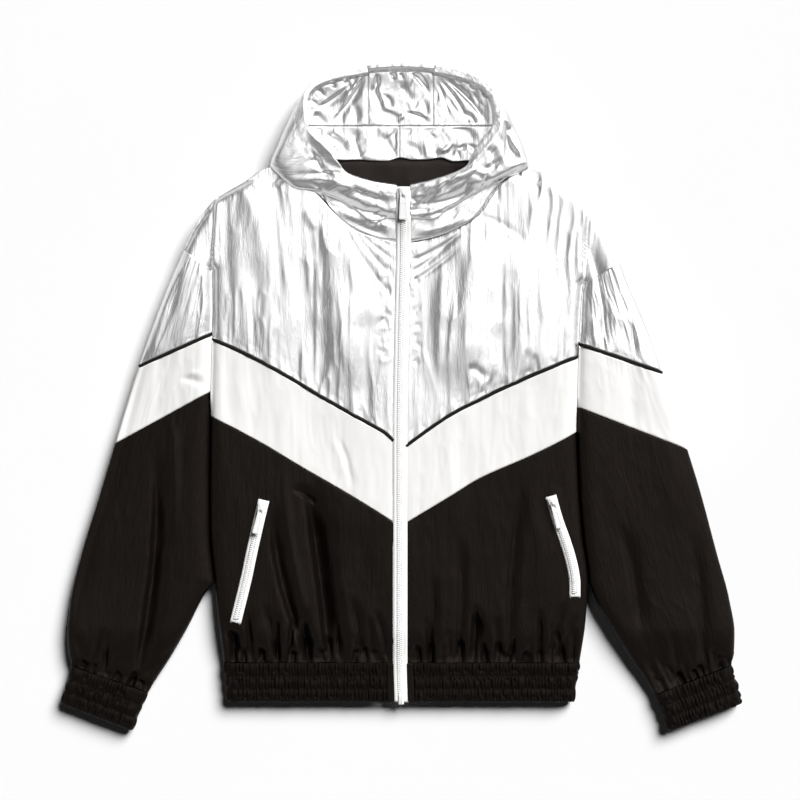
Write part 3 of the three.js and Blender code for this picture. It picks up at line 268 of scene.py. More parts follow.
def curve(keys, values):
    """A smooth line through values at keys, carried on straight past its ends."""
    order = np.argsort(keys)
    keys, values = np.asarray(keys, float)[order], np.asarray(values, float)[order]
    slopes = np.diff(values) / np.diff(keys)
    before, after = slopes[:-1], slopes[1:]
    same = before * after > 0
    total = np.where(same, before + after, 1)
    bends = np.concatenate([slopes[:1], np.where(same, 2 * before * after / total, 0), slopes[-1:]])

    def at(key):
        key = np.asarray(key, float)
        i = np.clip(np.searchsorted(keys, key, side="right") - 1, 0, len(keys) - 2)
        span = keys[i + 1] - keys[i]
        free = (key - keys[i]) / span
        t = np.clip(free, 0, 1)
        leave = t * (1 - t) ** 2 * span * bends[i]
        arrive = t * t * (t - 1) * span * bends[i + 1]
        between = values[i] + (values[i + 1] - values[i]) * t * t * (3 - 2 * t)
        return between + leave + arrive + (free - t) * span * slopes[i]

    return at


def mix(a, b, share):
    """A value that goes from a at share 0 to b at share 1."""
    return a + (b - a) * share


def smooth(share):
    """A share from 0 to 1 that starts and ends softly."""
    share = np.clip(share, 0, 1)
    return share * share * (3 - 2 * share)


def distance_to(lines, x, up):
    """Distance of each point to the nearest of several lines, each a row of (x, up)."""
    best = np.full(np.shape(x), 1e9)
    for line in lines:
        for (ax, ay), (bx, by) in zip(line[:-1], line[1:]):
            dx, dy = bx - ax, by - ay
            share = np.clip(((x - ax) * dx + (up - ay) * dy) / (dx * dx + dy * dy), 0, 1)
            best = np.minimum(best, np.hypot(x - ax - dx * share, up - ay - dy * share))
    return best


zip_line = curve(ZIP_LINE["up"], ZIP_LINE["x"])
thickness = curve(THICKNESS["up"], THICKNESS["height"])
roll = curve(THICKNESS["up"], THICKNESS["roll"])
neck_rise = curve(NECK_RISE["up"], NECK_RISE["height"])

HEM_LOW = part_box("hem_band")[0]
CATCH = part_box("zip_box")
ORIGIN = np.array([
    (CATCH[0].x + CATCH[1].x) / 2 - float(zip_line(0)) * MM, HEM_LOW.y, CAD_BOX[0].z,
])


def to_row(points):
    """Millimetres on the garment to metres in the row frame."""
    return np.asarray(points, float) * MM + ORIGIN


def trace(line, low, high, step):
    """Points down a fold line as rows of (x, up)."""
    up = np.linspace(low, high, int(math.ceil((high - low) / step)) + 1)
    return np.column_stack([line(up), up])


class Side:
    """The fold lines of one side of the garment."""

    def __init__(self, side):
        sign = SIDES[side]
        body = curve(BODY_SIDES["up"], BODY_SIDES[side])
        outer = curve(OUTER_FOLD["up"], OUTER_FOLD[side])
        free = curve(FREE_SLEEVE["up"], FREE_SLEEVE[side])

        def inner(up):
            beside = body(up) + SLEEVE_CLEARANCE
            return np.where(np.asarray(up) < FREE_SLEEVE_TOP, np.maximum(free(up), beside), beside)

        self.name, self.sign = side, sign
        self.body = lambda up: sign * body(up)
        self.outer = lambda up: sign * outer(up)
        self.inner = lambda up: sign * inner(up)
        top = OUTER_FOLD["up"][-1]
        armpit = SLEEVE_SEAMS["armhole"][side][1]
        shoulder = trace(self.outer, -6, top, 8)
        self.body_edges = [trace(self.body, -4, armpit, 10), shoulder]
        self.sleeve_edges = [trace(self.inner, -42, armpit, 8), shoulder]

    def beside_zip(self, up, gap=SEAM_GAP):
        """Where cloth ends at a gap from the front zip's tape."""
        return zip_line(up) + self.sign * (ZIP_WIDTH / 2 + gap)

    def yoke_edge(self, up):
        """The yoke's edge: the side fold, then the armhole, then the top of the sleeve side."""
        outer, inner = SLEEVE_SEAMS["armhole"][self.name]
        across = mix(self.body(inner), self.outer(outer), (up - inner) / (outer - inner))
        above = self.outer(np.minimum(up, SHOULDER_END))
        return np.where(up <= inner, self.body(up), np.where(up >= outer, above, across))


SIDE = {name: Side(name) for name in SIDES}


def hashed(column, row, seed):
    """A share from 0 to 1 for each whole-numbered place, always the same for the same seed."""
    column, row = column.astype(np.int64), row.astype(np.int64)
    number = (column * 374761393 + row * 668265263 + seed * 1274126177) & 0xFFFFFFFF
    number = ((number ^ (number >> 13)) * 1103515245) & 0xFFFFFFFF
    return ((number ^ (number >> 16)) & 0xFFFF) / 65535.0


def noise(u, v, seed):
    """Smooth noise from 0 to 1 that changes over one unit of u and v."""
    column, row = np.floor(u), np.floor(v)
    a, b = smooth(u - column), smooth(v - row)
    low = mix(hashed(column, row, seed), hashed(column + 1, row, seed), a)
    high = mix(hashed(column, row + 1, seed), hashed(column + 1, row + 1, seed), a)
    return mix(low, high, b)


def ridged(u, v, seed):
    """Noise with sharp crests at 1 and soft hollows towards 0."""
    return (1 - np.abs(2 * noise(u, v, seed) - 1)) ** 2


def crinkle(u, v, amount=1.0, seed=0):
    """Crushed metallised cloth: long creases that run along v and join one another, in mm."""
    bow = 9 * noise(u / 46, v / 62, seed + 1) + 3 * noise(u / 17, v / 26, seed + 2)
    wide = 2.4 * (noise((u + bow) / 19, v / 120, seed + 3) - 0.5)
    middle = 1.1 * (ridged((u + bow) / 12.5, v / 74, seed + 4) - 0.4)
    fine = 0.5 * (ridged((u + 0.6 * bow) / 6.2, v / 38, seed + 5) - 0.4)
    patch = 0.35 + 1.1 * smooth(noise(u / 34, v / 70, seed + 6) * 1.8 - 0.4)
    return amount * (wide + (middle + fine) * patch)


def soft_cloth(u, v, amount=1.0, seed=0):
    """Light crinkled nylon: shallow soft ripples that run along v, in mm."""
    bow = 8 * noise(u / 52, v / 60, seed + 1)
    wide = 1.9 * (noise((u + bow) / 34, v / 120, seed + 2) - 0.5)
    middle = 0.85 * (noise((u + bow) / 13, v / 60, seed + 3) - 0.5)
    fine = 0.34 * (ridged((u + bow) / 7, v / 34, seed + 4) - 0.4)
    return amount * (wide + middle + fine)


def crumple(x, y, amount=1.0, seed=0):
    """Cloth crushed in every direction, in mm."""
    turn = 12 * noise(x / 30, y / 30, seed + 1)
    broad = 1.5 * (ridged((x + turn) / 30, (y - turn) / 26, seed + 2) - 0.4)
    small = 0.9 * (ridged((x - turn) / 13, (y + turn) / 15, seed + 3) - 0.4)
    fine = 0.45 * (ridged((x + 0.4 * turn) / 6, (y + 0.6 * turn) / 8, seed + 4) - 0.4)
    return amount * (broad + small + fine)


def gathers(u, away, pitch, reach, deep, seed):
    """Small pleats that leave an elastic or a seam and die away over their reach, in mm."""
    place = u / pitch + 0.5 * noise(u / 40, away / 30, seed)
    folds = 0.35 - ridged(place, away / (reach * 1.6), seed + 1)
    long = 0.35 - ridged(place * 0.45, away / (reach * 3), seed + 2)
    near = np.exp(-away / reach)
    return deep * (folds * near + 0.8 * long * np.exp(-away / (reach * 1.8)))


def creased(x, up, folds=CREASES, spare=0.12, taper=2.6):
    """Height that a table of creases adds at each point, in mm."""
    total = np.zeros(np.shape(x))
    for fold in zip(*folds.values()):
        ax, ay, bx, by, bend, low, high, deep = fold
        dx, dy = bx - ax, by - ay
        length = math.hypot(dx, dy)
        side = np.array([-dy, dx]) / length
        if side[0] < -1e-9 or (abs(side[0]) < 1e-9 and side[1] < 0):
            side = -side
        t = ((x - ax) * dx + (up - ay) * dy) / length**2
        near = (t > -0.15) & (t < 1.15)
        t, px, py = t[near], x[near], up[near]
        off = (px - mix(ax, bx, t)) * side[0] + (py - mix(ay, by, t)) * side[1]
        off = off - bend * 4 * t * (1 - t)
        wander = 1 + 0.35 * (noise(t * length / 22, off * 0 + abs(ax), 71) - 0.5)
        width = np.where(off < 0, low, high) * wander
        ends = smooth(np.minimum(t + spare, 1 + spare - t) * taper)
        total[near] -= deep * ends * np.exp(-((off / width) ** 2))
    return total


def strewn(count, low, high, long, deep, turn, seed):
    """Short straight creases strewn over a rectangle; each lies within 50 degrees of turn."""
    row = np.arange(count)
    pick = [hashed(row, row * 0 + k, seed) for k in range(8)]
    x, up = mix(low[0], high[0], pick[0]), mix(low[1], high[1], pick[1])
    angle = math.radians(turn) + 1.75 * (pick[2] - 0.5)
    half = long * (0.3 + 0.5 * pick[3])
    side, rise = half * np.cos(angle), half * np.sin(angle)
    sharp = pick[4] > 0.5
    widths = np.where(sharp, 1.3, 5.0), np.where(sharp, 5.0, 1.3)
    sign = np.where(pick[5] > 0.45, 1, -0.8)
    values = (x - side, up - rise, x + side, up + rise, 3 * (pick[6] - 0.5), *widths,
              deep * sign * (0.5 + pick[7]))
    return dict(zip(FOLD.split(), values))


def darts(start, end, way, pitch, long, deep, seed):
    """Pleats that leave a gathered seam and die away, at uneven places and of uneven lengths."""
    start, end, way = np.array(start, float), np.array(end, float), np.array(way, float)
    count = int(np.hypot(*(end - start)) / pitch)
    row = np.arange(count)
    pick = [hashed(row, row * 0 + k, seed) for k in range(6)]
    foot = start + (end - start) * ((row + 0.2 + 0.6 * pick[0]) / count)[:, None]
    reach = long * (0.35 + 1.3 * pick[1] ** 2)
    lean = 0.5 * (pick[2] - 0.5)
    side = np.array([way[1], -way[0]])
    tip = foot + reach[:, None] * (way + lean[:, None] * side)
    foot = foot - 3 * way
    values = (*foot.T, *tip.T, 4 * (pick[3] - 0.5), 1.8 + 1.4 * pick[4], 3.4 + 3 * pick[4],
              deep * (0.45 + 0.9 * pick[5]))
    return dict(zip(FOLD.split(), values))


def dome(share):
    """Height share of filled cloth beside a fold: steep at the fold, then soon flat."""
    return (1 - (1 - share) ** 2.8) ** (1 / 2.8)


def top_height(edges, x, up):
    """The upper layer, rounded down to the fold lines, and how far in from them it is."""
    reach = distance_to(edges, x, up)
    share = np.clip(reach / roll(up), 0, 1)
    low = thickness(up) * FOLD_SHARE
    height = mix(low, thickness(up), dome(share))
    return height, share


def under_height(edges, x, up):
    """The layer that lies on the ground, rounded up to the fold lines."""
    share = np.clip(distance_to(edges, x, up) / np.minimum(UNDER_ROLL, roll(up)), 0, 1)
    return thickness(up) * FOLD_SHARE * (1 - np.sqrt(1 - (1 - share) ** 2))


def seam_dip(away, deep=0.9, wide=1.7):
    """How far cloth turns down into a seam at a distance from it."""
    return deep * (1 - smooth(away / wide)) ** 1.5


EDGE_ROWS = np.array([0, 0.35, 0.8, 1.4, 2.2])


def rows_between(low, high, step):
    """Rows from a low to a high line, close together beside both."""
    count = max(int(np.max(high - low) / step), 2)
    inside = np.linspace(0, 1, count + 1)[1:-1]
    first = low + EDGE_ROWS[:, None]
    last = high - EDGE_ROWS[::-1, None]
    return np.concatenate([first, first[-1] + inside[:, None] * (last[0] - first[-1]), last])


def across(inside, edge, radius, step, roll_count=11):
    """Places columns from an inside line to a fold, close together where the cloth rolls over."""
    sample = np.linspace(60, 600, 30)
    count = int(np.max(np.abs(edge(sample) - inside(sample)) - radius(sample)) / step)
    rolled = 1 - np.cos(quarter_turn(roll_count + 1)[::-1])
    flat_share = np.concatenate([np.linspace(0, 1, count + 1)[:-1], np.ones(roll_count + 1)])
    roll_share = np.concatenate([np.ones(count), rolled])

    def places(up):
        sign = np.sign(edge(up) - inside(up))
        turn = edge(up) - sign * radius(up)
        return mix(inside(up), turn, flat_share) + sign * radius(up) * (1 - roll_share)

    return places, len(flat_share)


def settled(line, places, count):
    """The height of a seam line at each column, whose place itself changes with height."""
    up = line(np.zeros(count))
    for _ in range(16):
        up = line(places(up))
    return up


def panel(low, high, places, count, step):
    """The plan of a piece between two seam lines: x and up for its rows and columns."""
    up = rows_between(settled(low, places, count), settled(high, places, count), step)
    return places(up), up


def shifted(line, by):
    """A seam line moved up by a distance."""
    return lambda x: line(x) + by


def middle_line(up):
    """The middle line of the back."""
    return up * 0


def even_roll(up):
    """How wide the layer on the ground rolls up at a fold."""
    return up * 0 + UNDER_ROLL


def held(share, least=0.2):
    """How freely cloth may crease, from least at a fold to 1 well inside it."""
    return least + (1 - least) * np.sqrt(share)


def quarter_turn(count):
    """Angles from 0 to 90 degrees, in radians."""
    return np.linspace(0, math.pi / 2, count)


def unit(ways):
    """The same directions with length 1."""
    return ways / np.linalg.norm(ways, axis=-1, keepdims=True)


# ---- Meshes ----

def link(name, mesh, finish_name, cad=None, body="garment", slot=None):
    """Adds a piece in place of its CAD node, on its body and with its finish; its slot argument is not used.
    """
    piece = bpy.data.objects.new(name, mesh)
    bpy.context.scene.collection.objects.link(piece)
    mesh.materials.append(finish(finish_name))
    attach(piece, body)
    if cad:
        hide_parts(cad)
    slot = finish_name if slot is None else slot
    return piece


def mesh_from(name, points, quads, uv=None, triangles=None):
    """A smooth mesh from points in millimetres, quads and triangles; uv is per quad corner."""
    mesh = bpy.data.meshes.new(name)
    triangles = np.zeros((0, 3), int) if triangles is None else triangles
    corners = np.concatenate([quads.ravel(), triangles.ravel()])
    starts = np.concatenate([
        np.arange(len(quads)) * 4, len(quads) * 4 + np.arange(len(triangles)) * 3,
    ])
    mesh.vertices.add(len(points))
    mesh.vertices.foreach_set("co", to_row(points).astype(np.float32).ravel())
    mesh.loops.add(len(corners))
    mesh.loops.foreach_set("vertex_index", corners.astype(np.int32))
    mesh.polygons.add(len(starts))
    mesh.polygons.foreach_set("loop_start", starts.astype(np.int32))
    mesh.update(calc_edges=True)
    if uv is not None:
        layer = mesh.uv_layers.new(name="cloth")
        layer.data.foreach_set("uv", np.asarray(uv, np.float32).ravel())
    mesh.validate()
    mesh.shade_smooth()
    return mesh


def grid_normals(grid, closed, facing, probe):
    """Unit normals of a grid, all turned so that the one at the probe column faces that way."""
    along = np.gradient(grid, axis=0)
    if closed:
        spread = (np.roll(grid, -1, 1) - np.roll(grid, 1, 1)) / 2
    else:
        spread = np.gradient(grid, axis=1)
    normals = np.cross(along, spread)
    length = np.linalg.norm(normals, axis=2, keepdims=True)
    normals = normals / np.maximum(length, 1e-9)
    sign = -1 if normals[len(grid) // 2, probe] @ np.array(facing, float) < 0 else 1
    return normals * sign, sign


def cloth(name, grid, finish_name, cad, wall=0.6, closed=False, facing=(0, 0, 1), probe=None,
          uv=None, slot=None):
    """A thin shell of cloth: the grid is its outer face, and rims close its free edges."""
    rows, columns = grid.shape[:2]
    probe = columns // 2 if probe is None else probe
    normals, sign = grid_normals(grid, closed, facing, probe)
    points = np.concatenate([grid.reshape(-1, 3), (grid - wall * normals).reshape(-1, 3)])
    if uv is None:
        uv = cloth_uv(grid, closed)
    inner = rows * columns
    spans = columns if closed else columns - 1
    i, j = np.meshgrid(np.arange(rows - 1), np.arange(spans), indexing="ij")
    i, j = i.ravel(), j.ravel()

    def at(row, column):
        return row * columns + column % columns

    def face(*corners):
        corners = corners if sign > 0 else corners[::-1]
        quads.append(np.stack([at(r, c) + shift for r, c, shift in corners], 1))
        spots.append(np.stack([uv[r, c] for r, c, _ in corners], 1))

    quads, spots = [], []
    face((i, j, 0), (i + 1, j, 0), (i + 1, j + 1, 0), (i, j + 1, 0))
    face((i, j, inner), (i, j + 1, inner), (i + 1, j + 1, inner), (i + 1, j, inner))
    j = np.arange(spans)
    first, last = j * 0, j * 0 + rows - 1
    face((first, j, 0), (first, j + 1, 0), (first, j + 1, inner), (first, j, inner))
    face((last, j + 1, 0), (last, j, 0), (last, j, inner), (last, j + 1, inner))
    if not closed:
        i = np.arange(rows - 1)
        low, high = i * 0, i * 0 + columns - 1
        face((i + 1, low, 0), (i, low, 0), (i, low, inner), (i + 1, low, inner))
        face((i, high, 0), (i + 1, high, 0), (i + 1, high, inner), (i, high, inner))
    mesh = mesh_from(name, points, np.concatenate(quads), np.concatenate(spots))
    return link(name, mesh, finish_name, cad, slot=slot)


def cloth_uv(grid, closed=False):
    """Lengths in metres across and along the cloth, measured through its middle."""
    ring = np.concatenate([grid, grid[:, :1]], 1) if closed else grid
    steps_across = np.linalg.norm(np.diff(ring, axis=1), axis=2)
    u = np.concatenate([np.zeros((len(ring), 1)), np.cumsum(steps_across, 1)], 1)
    u = u - u[:, u.shape[1] // 2][:, None] + ring[:, ring.shape[1] // 2, :1]
    steps_along = np.linalg.norm(np.diff(ring, axis=0), axis=2)
    v = np.concatenate([np.zeros((1, ring.shape[1])), np.cumsum(steps_along, 0)], 0)
    return np.stack([u, v + ring[0, :, 1]], 2) * MM


def loft(loops, closed=False):
    """Quads and cap fans through loops of points; a closed one joins its last loop to its first."""
    loops = np.asarray(loops, float)
    count, size = loops.shape[:2]
    points = loops.reshape(-1, 3)
    quads = []
    for i in range(count if closed else count - 1):
        a, b = i * size, ((i + 1) % count) * size
        j = np.arange(size)
        k = (j + 1) % size
        quads.append(np.stack([a + j, a + k, b + k, b + j], 1))
    triangles = []
    if not closed:
        for start, flip in ((0, True), ((count - 1) * size, False)):
            centre = len(points)
            points = np.vstack([points, points[start:start + size].mean(0)])
            j = np.arange(size)
            k = (j + 1) % size
            fan = np.stack([start + j, start + k, j * 0 + centre], 1)
            triangles.append(fan[:, ::-1] if flip else fan)
    triangles = np.concatenate(triangles) if triangles else np.zeros((0, 3), int)
    return points, np.concatenate(quads), triangles


def merged(parts):
    """One set of points, quads and triangles from several."""
    points, quads, triangles, start = [], [], [], 0
    for p, q, t in parts:
        points.append(p)
        quads.append(q + start)
        triangles.append(t + start)
        start += len(p)
    return np.concatenate(points), np.concatenate(quads), np.concatenate(triangles)


def repeated(shape, places, axes):
    """Copies of one shape at each place; axes holds the three directions of each copy."""
    points, quads, triangles = shape
    count, size = len(places), len(points)
    moved = np.einsum("pk,nkd->npd", points, axes) + places[:, None, :]
    shift = (np.arange(count) * size)[:, None, None]
    return (
        moved.reshape(-1, 3),
        (quads[None] + shift).reshape(-1, 4),
        (triangles[None] + shift).reshape(-1, 3),
    )


def solid(name, shape, finish_name, cad=None, body="garment", slot=None, flat=35):
    """A hard piece, whose edges stay sharp where its faces turn by more than flat degrees."""
    points, quads, triangles = shape
    mesh = mesh_from(name, points, quads, triangles=triangles)
    mesh.set_sharp_from_angle(angle=math.radians(flat))
    return link(name, mesh, finish_name, cad, body, slot)


def rounded_outline(half_low, half_high, low, high, radius, steps=5):
    """A closed outline in the plane: a rectangle or taper with round corners."""
    corners = [
        (half_low, low, -90), (half_high, high, 0), (-half_high, high, 90), (-half_low, low, 180),
    ]
    points = []
    for x, y, start in corners:
        cx, cy = x - math.copysign(radius, x), y + (radius if y == low else -radius)
        for angle in np.radians(np.linspace(start, start + 90, steps)):
            points.append((cx + radius * math.cos(angle), cy + radius * math.sin(angle)))
    return np.array(points)


def lifted(outline, height):
    return np.column_stack([outline, np.full(len(outline), height)])


def ring(outline, inset, height):
    """A rounded outline drawn in by an inset, at a height."""
    half_low, half_high, low, high, radius, steps = outline
    return lifted(rounded_outline(half_low - inset, half_high - inset, low + inset, high - inset,
                                  radius, steps), height)


def pillow_box(width, length, height, soft):
    """A box with chamfered edges, its middle at the origin."""
    def outline(inset):
        return rounded_outline(width / 2 - inset, width / 2 - inset, inset - length / 2,
                               length / 2 - inset, max(soft - inset * 0.5, soft * 0.3), 3)
    half = height / 2
    return loft([
        lifted(outline(soft), -half), lifted(outline(0), soft - half),
        lifted(outline(0), half - soft), lifted(outline(soft * 0.45), half - soft * 0.3),
        lifted(outline(soft), half),
    ])


def arc_points(path, step):
    """Evenly spaced points and directions along a line through points."""
    path = np.asarray(path, float)
    fine = [curve(np.arange(len(path)), path[:, k])(np.linspace(0, len(path) - 1, 40 * len(path)))
            for k in range(path.shape[1])]
    fine = np.stack(fine, 1)
    run = np.concatenate([[0], np.cumsum(np.linalg.norm(np.diff(fine, axis=0), axis=1))])
    count = max(int(run[-1] / step), 1)
    at = np.linspace(0, run[-1], count + 1)
    points = np.stack([np.interp(at, run, fine[:, k]) for k in range(fine.shape[1])], 1)
    ways = np.gradient(points, axis=0)
    return points, unit(ways)


def stitches(name, rows, finish_name, sink=0.12):
    """Rows of stitches on the cloth. Each row is a line of (x, up, height)."""
    sewing = bpy.context.scene.jacket_stitches
    long, thick, pitch = sewing.length, sewing.thickness, sewing.pitch
    angles = np.linspace(0, 2 * math.pi, 7)[:-1]
    rings = []
    for t, r in ((-0.5, 0.25), (-0.36, 0.85), (0, 1), (0.36, 0.85), (0.5, 0.25)):
        rings.append(np.column_stack([
            r * thick / 2 * np.cos(angles), np.full(6, t * long), r * thick / 2 * np.sin(angles),
        ]))
    shape = loft(rings)
    places, axes = [], []
    for row in rows:
        points, ways = arc_points(row, pitch)
        side = unit(np.cross(ways, [0, 0, 1.0]))
        rise = np.cross(side, ways)
        places.append(points + rise * (thick / 2 - sink))
        axes.append(np.stack([side, ways, rise], 1))
    sewn = repeated(shape, np.concatenate(places), np.concatenate(axes))
    return solid(name, sewn, finish_name, slot="", flat=180)


# ---- Finishes ----

def linear(code, alpha=1.0):
    """An sRGB hex colour as linear values."""
    parts = [int(code[i:i + 2], 16) / 255 for i in (1, 3, 5)]
    return [p / 12.92 if p <= 0.04045 else ((p + 0.055) / 1.055) ** 2.4 for p in parts] + [alpha]


def node(tree, kind, inputs=None, **settings):
    """Adds a shader node, fills or links its inputs, and returns its outputs."""
    made = tree.nodes.new("ShaderNode" + kind)
    for key, value in settings.items():
        setattr(made, key, value)
    for key, value in (inputs or {}).items():
        if isinstance(value, bpy.types.NodeSocket):
            tree.links.new(value, made.inputs[key])
        else:
            made.inputs[key].default_value = value
    return made.outputs


def per(across, along):
    """The texture scale at which one unit is so many millimetres across and along the cloth."""
    return (1000 / across, 1000 / along, 1)


def darker(colour, share):
    """A colour at a share of its brightness."""
    return [part * share for part in colour[:3]] + [1.0]


# Settings shared by several cloths: evenly laid threads, and cloth crushed into long creases.
THREADS = {"Scale": 1.0, "Distortion": 0.6, "Detail": 1.0, "Detail Scale": 2.0}
CRUSHED = {"Scale": 1.0, "Detail": 4.0, "Roughness": 0.55, "Distortion": 0.6}
FLAT = {"noise_dimensions": "2D"}


def metallised_crushed_nylon_taffeta(tree, scene):
    """Nylon taffeta with a vacuum-metallised film, crushed along its length: it mirrors softly, and
    each small crease turns from white to grey."""
    colour = scene.jacket_cloth.silver
    uv = node(tree, "TexCoord")["UV"]
    small = node(tree, "Mapping", {"Vector": uv, "Scale": per(2.7, 15)})["Vector"]
    crush = node(tree, "TexNoise", {"Vector": small, **CRUSHED}, **FLAT)["Fac"]
    large = node(tree, "Mapping", {"Vector": uv, "Scale": per(30, 110)})["Vector"]
    patch = node(tree, "TexNoise", {
        "Vector": large, "Scale": 1.0, "Detail": 1.0, "Roughness": 0.55, "Distortion": 0.5,
    }, **FLAT)["Fac"]
    busy = node(tree, "MapRange", {
        "Value": patch, "From Min": 0.3, "From Max": 0.7, "To Min": 0.25, "To Max": 1.0,
    })["Result"]
    pleats = node(tree, "Math", {0: crush, 1: busy}, operation="MULTIPLY")[0]
    wide = node(tree, "Mapping", {"Vector": uv, "Scale": per(9, 60)})["Vector"]
    film = node(tree, "TexNoise", {"Vector": wide, "Scale": 1.0, "Detail": 2.0}, **FLAT)["Fac"]
    tint = node(tree, "Mix", {
        "Factor": film, "A": colour, "B": darker(colour, 0.85),
    }, data_type="RGBA")["Result"]
    rough = node(tree, "MapRange", {
        "Value": crush, "From Min": 0.3, "From Max": 0.7, "To Min": 0.16, "To Max": 0.27,
    })["Result"]
    long = node(tree, "Mapping", {"Vector": uv, "Scale": per(6, 46)})["Vector"]
    fold = node(tree, "TexNoise", {
        "Vector": long, "Scale": 1.0, "Detail": 2.0, "Roughness": 0.55, "Distortion": 0.8,
    }, **FLAT)["Fac"]
    folded = node(tree, "Bump", {"Height": fold, "Distance": 0.4 * MM, "Strength": 0.5})["Normal"]
    normal = node(tree, "Bump", {
        "Height": pleats, "Distance": 0.34 * MM, "Strength": 1.0, "Normal": folded,
    })["Normal"]
    return node(tree, "BsdfPrincipled", {
        "Base Color": tint, "Metallic": 1.0, "Roughness": rough, "Normal": normal,
    })


def woven_white_nylon_taffeta(tree, scene):
    """Plain-woven nylon taffeta, dyed white and calendered: matt with a faint sheen."""
    colour = scene.jacket_cloth.white
    uv = node(tree, "TexCoord")["UV"]
    # drawn coarser than its real 0.25 mm threads
    fine = node(tree, "Mapping", {"Vector": uv, "Scale": per(6.9, 6.9)})["Vector"]
    weave = node(tree, "TexWave", {"Vector": fine, **THREADS})["Fac"]
    wide = node(tree, "Mapping", {"Vector": uv, "Scale": per(14, 40)})["Vector"]
    mottle = node(tree, "TexNoise", {"Vector": wide, "Scale": 1.0, "Detail": 3.0})["Fac"]
    tint = node(tree, "Mix", {
        "Factor": mottle, "A": colour, "B": darker(colour, 0.955),
    }, data_type="RGBA")["Result"]
    long = node(tree, "Mapping", {"Vector": uv, "Scale": per(5, 34)})["Vector"]
    ripple = node(tree, "TexNoise", {
        "Vector": long, "Scale": 1.0, "Detail": 3.0, "Roughness": 0.55, "Distortion": 0.5,
    }, **FLAT)["Fac"]
    rippled = node(tree, "Bump", {"Height": ripple, "Distance": 0.25 * MM, "Strength": 0.35})["Normal"]
    normal = node(tree, "Bump", {
        "Height": weave, "Distance": 0.03 * MM, "Strength": 0.25, "Normal": rippled,
    })["Normal"]
    return node(tree, "BsdfPrincipled", {
        "Base Color": tint, "Roughness": 0.52, "Sheen Weight": 0.15, "Sheen Roughness": 0.4,
        "Normal": normal,
    })


def woven_black_crinkled_nylon_taffeta(tree, scene):
    """Crinkled nylon taffeta, dyed black: fine crinkles catch a brownish sheen."""
    cloth_colours = scene.jacket_cloth
    uv = node(tree, "TexCoord")["UV"]
    small = node(tree, "Mapping", {"Vector": uv, "Scale": per(3.2, 26)})["Vector"]
    crush = node(tree, "TexNoise", {"Vector": small, **CRUSHED}, **FLAT)["Fac"]
    tint = node(tree, "Mix", {
        "Factor": crush, "A": darker(cloth_colours.black, 0.62), "B": cloth_colours.black,
    }, data_type="RGBA")["Result"]
    long = node(tree, "Mapping", {"Vector": uv, "Scale": per(7, 30)})["Vector"]
    fold = node(tree, "TexNoise", {
        "Vector": long, "Scale": 1.0, "Detail": 3.0, "Roughness": 0.55, "Distortion": 0.8,
    }, **FLAT)["Fac"]
    folded = node(tree, "Bump", {"Height": fold, "Distance": 0.6 * MM, "Strength": 0.8})["Normal"]
    normal = node(tree, "Bump", {
        "Height": crush, "Distance": 0.6 * MM, "Strength": 1.0, "Normal": folded,
    })["Normal"]
    return node(tree, "BsdfPrincipled", {
        "Base Color": tint, "Roughness": 0.38, "Specular IOR Level": 0.12,
        "Specular Tint": cloth_colours.black_sheen, "Normal": normal,
    })


def shirred_black_nylon_over_elastic(tree, scene):
    """The same black taffeta shirred over elastic: its ruffles are in the mesh, the weave here."""
    cloth_colours = scene.jacket_cloth
    uv = node(tree, "TexCoord")["UV"]
    small = node(tree, "Mapping", {"Vector": uv, "Scale": per(1.6, 9)})["Vector"]
    crush = node(tree, "TexNoise", {
        "Vector": small, "Scale": 1.0, "Detail": 3.0, "Roughness": 0.55, "Distortion": 0.4,
    }, **FLAT)["Fac"]
    tint = node(tree, "Mix", {
        "Factor": crush, "A": darker(cloth_colours.black, 0.4), "B": darker(cloth_colours.black, 0.7),
    }, data_type="RGBA")["Result"]
    normal = node(tree, "Bump", {"Height": crush, "Distance": 0.35 * MM, "Strength": 0.7})["Normal"]
    return node(tree, "BsdfPrincipled", {
        "Base Color": tint, "Roughness": 0.42, "Specular IOR Level": 0.085,
        "Specular Tint": cloth_colours.black_sheen, "Normal": normal,
    })


def woven_black_bias_piping(tree, scene):
    """Bias-cut cotton piping, woven and dyed black: matt, with slanting threads."""
    colour = scene.jacket_cloth.piping
    # drawn coarser than its real 0.4 mm threads
    slant = node(tree, "Mapping", {
        "Vector": node(tree, "TexCoord")["UV"], "Rotation": (0, 0, math.radians(45)),
        "Scale": per(6.3, 6.3),
    })["Vector"]
    twill = node(tree, "TexWave", {"Vector": slant, **THREADS})["Fac"]
    tint = node(tree, "Mix", {
        "Factor": twill, "A": darker(colour, 0.55), "B": colour,
    }, data_type="RGBA")["Result"]
    normal = node(tree, "Bump", {"Height": twill, "Distance": 0.08 * MM, "Strength": 0.4})["Normal"]
    return node(tree, "BsdfPrincipled", {
        "Base Color": tint, "Roughness": 0.75, "Specular IOR Level": 0.15, "Normal": normal,
    })


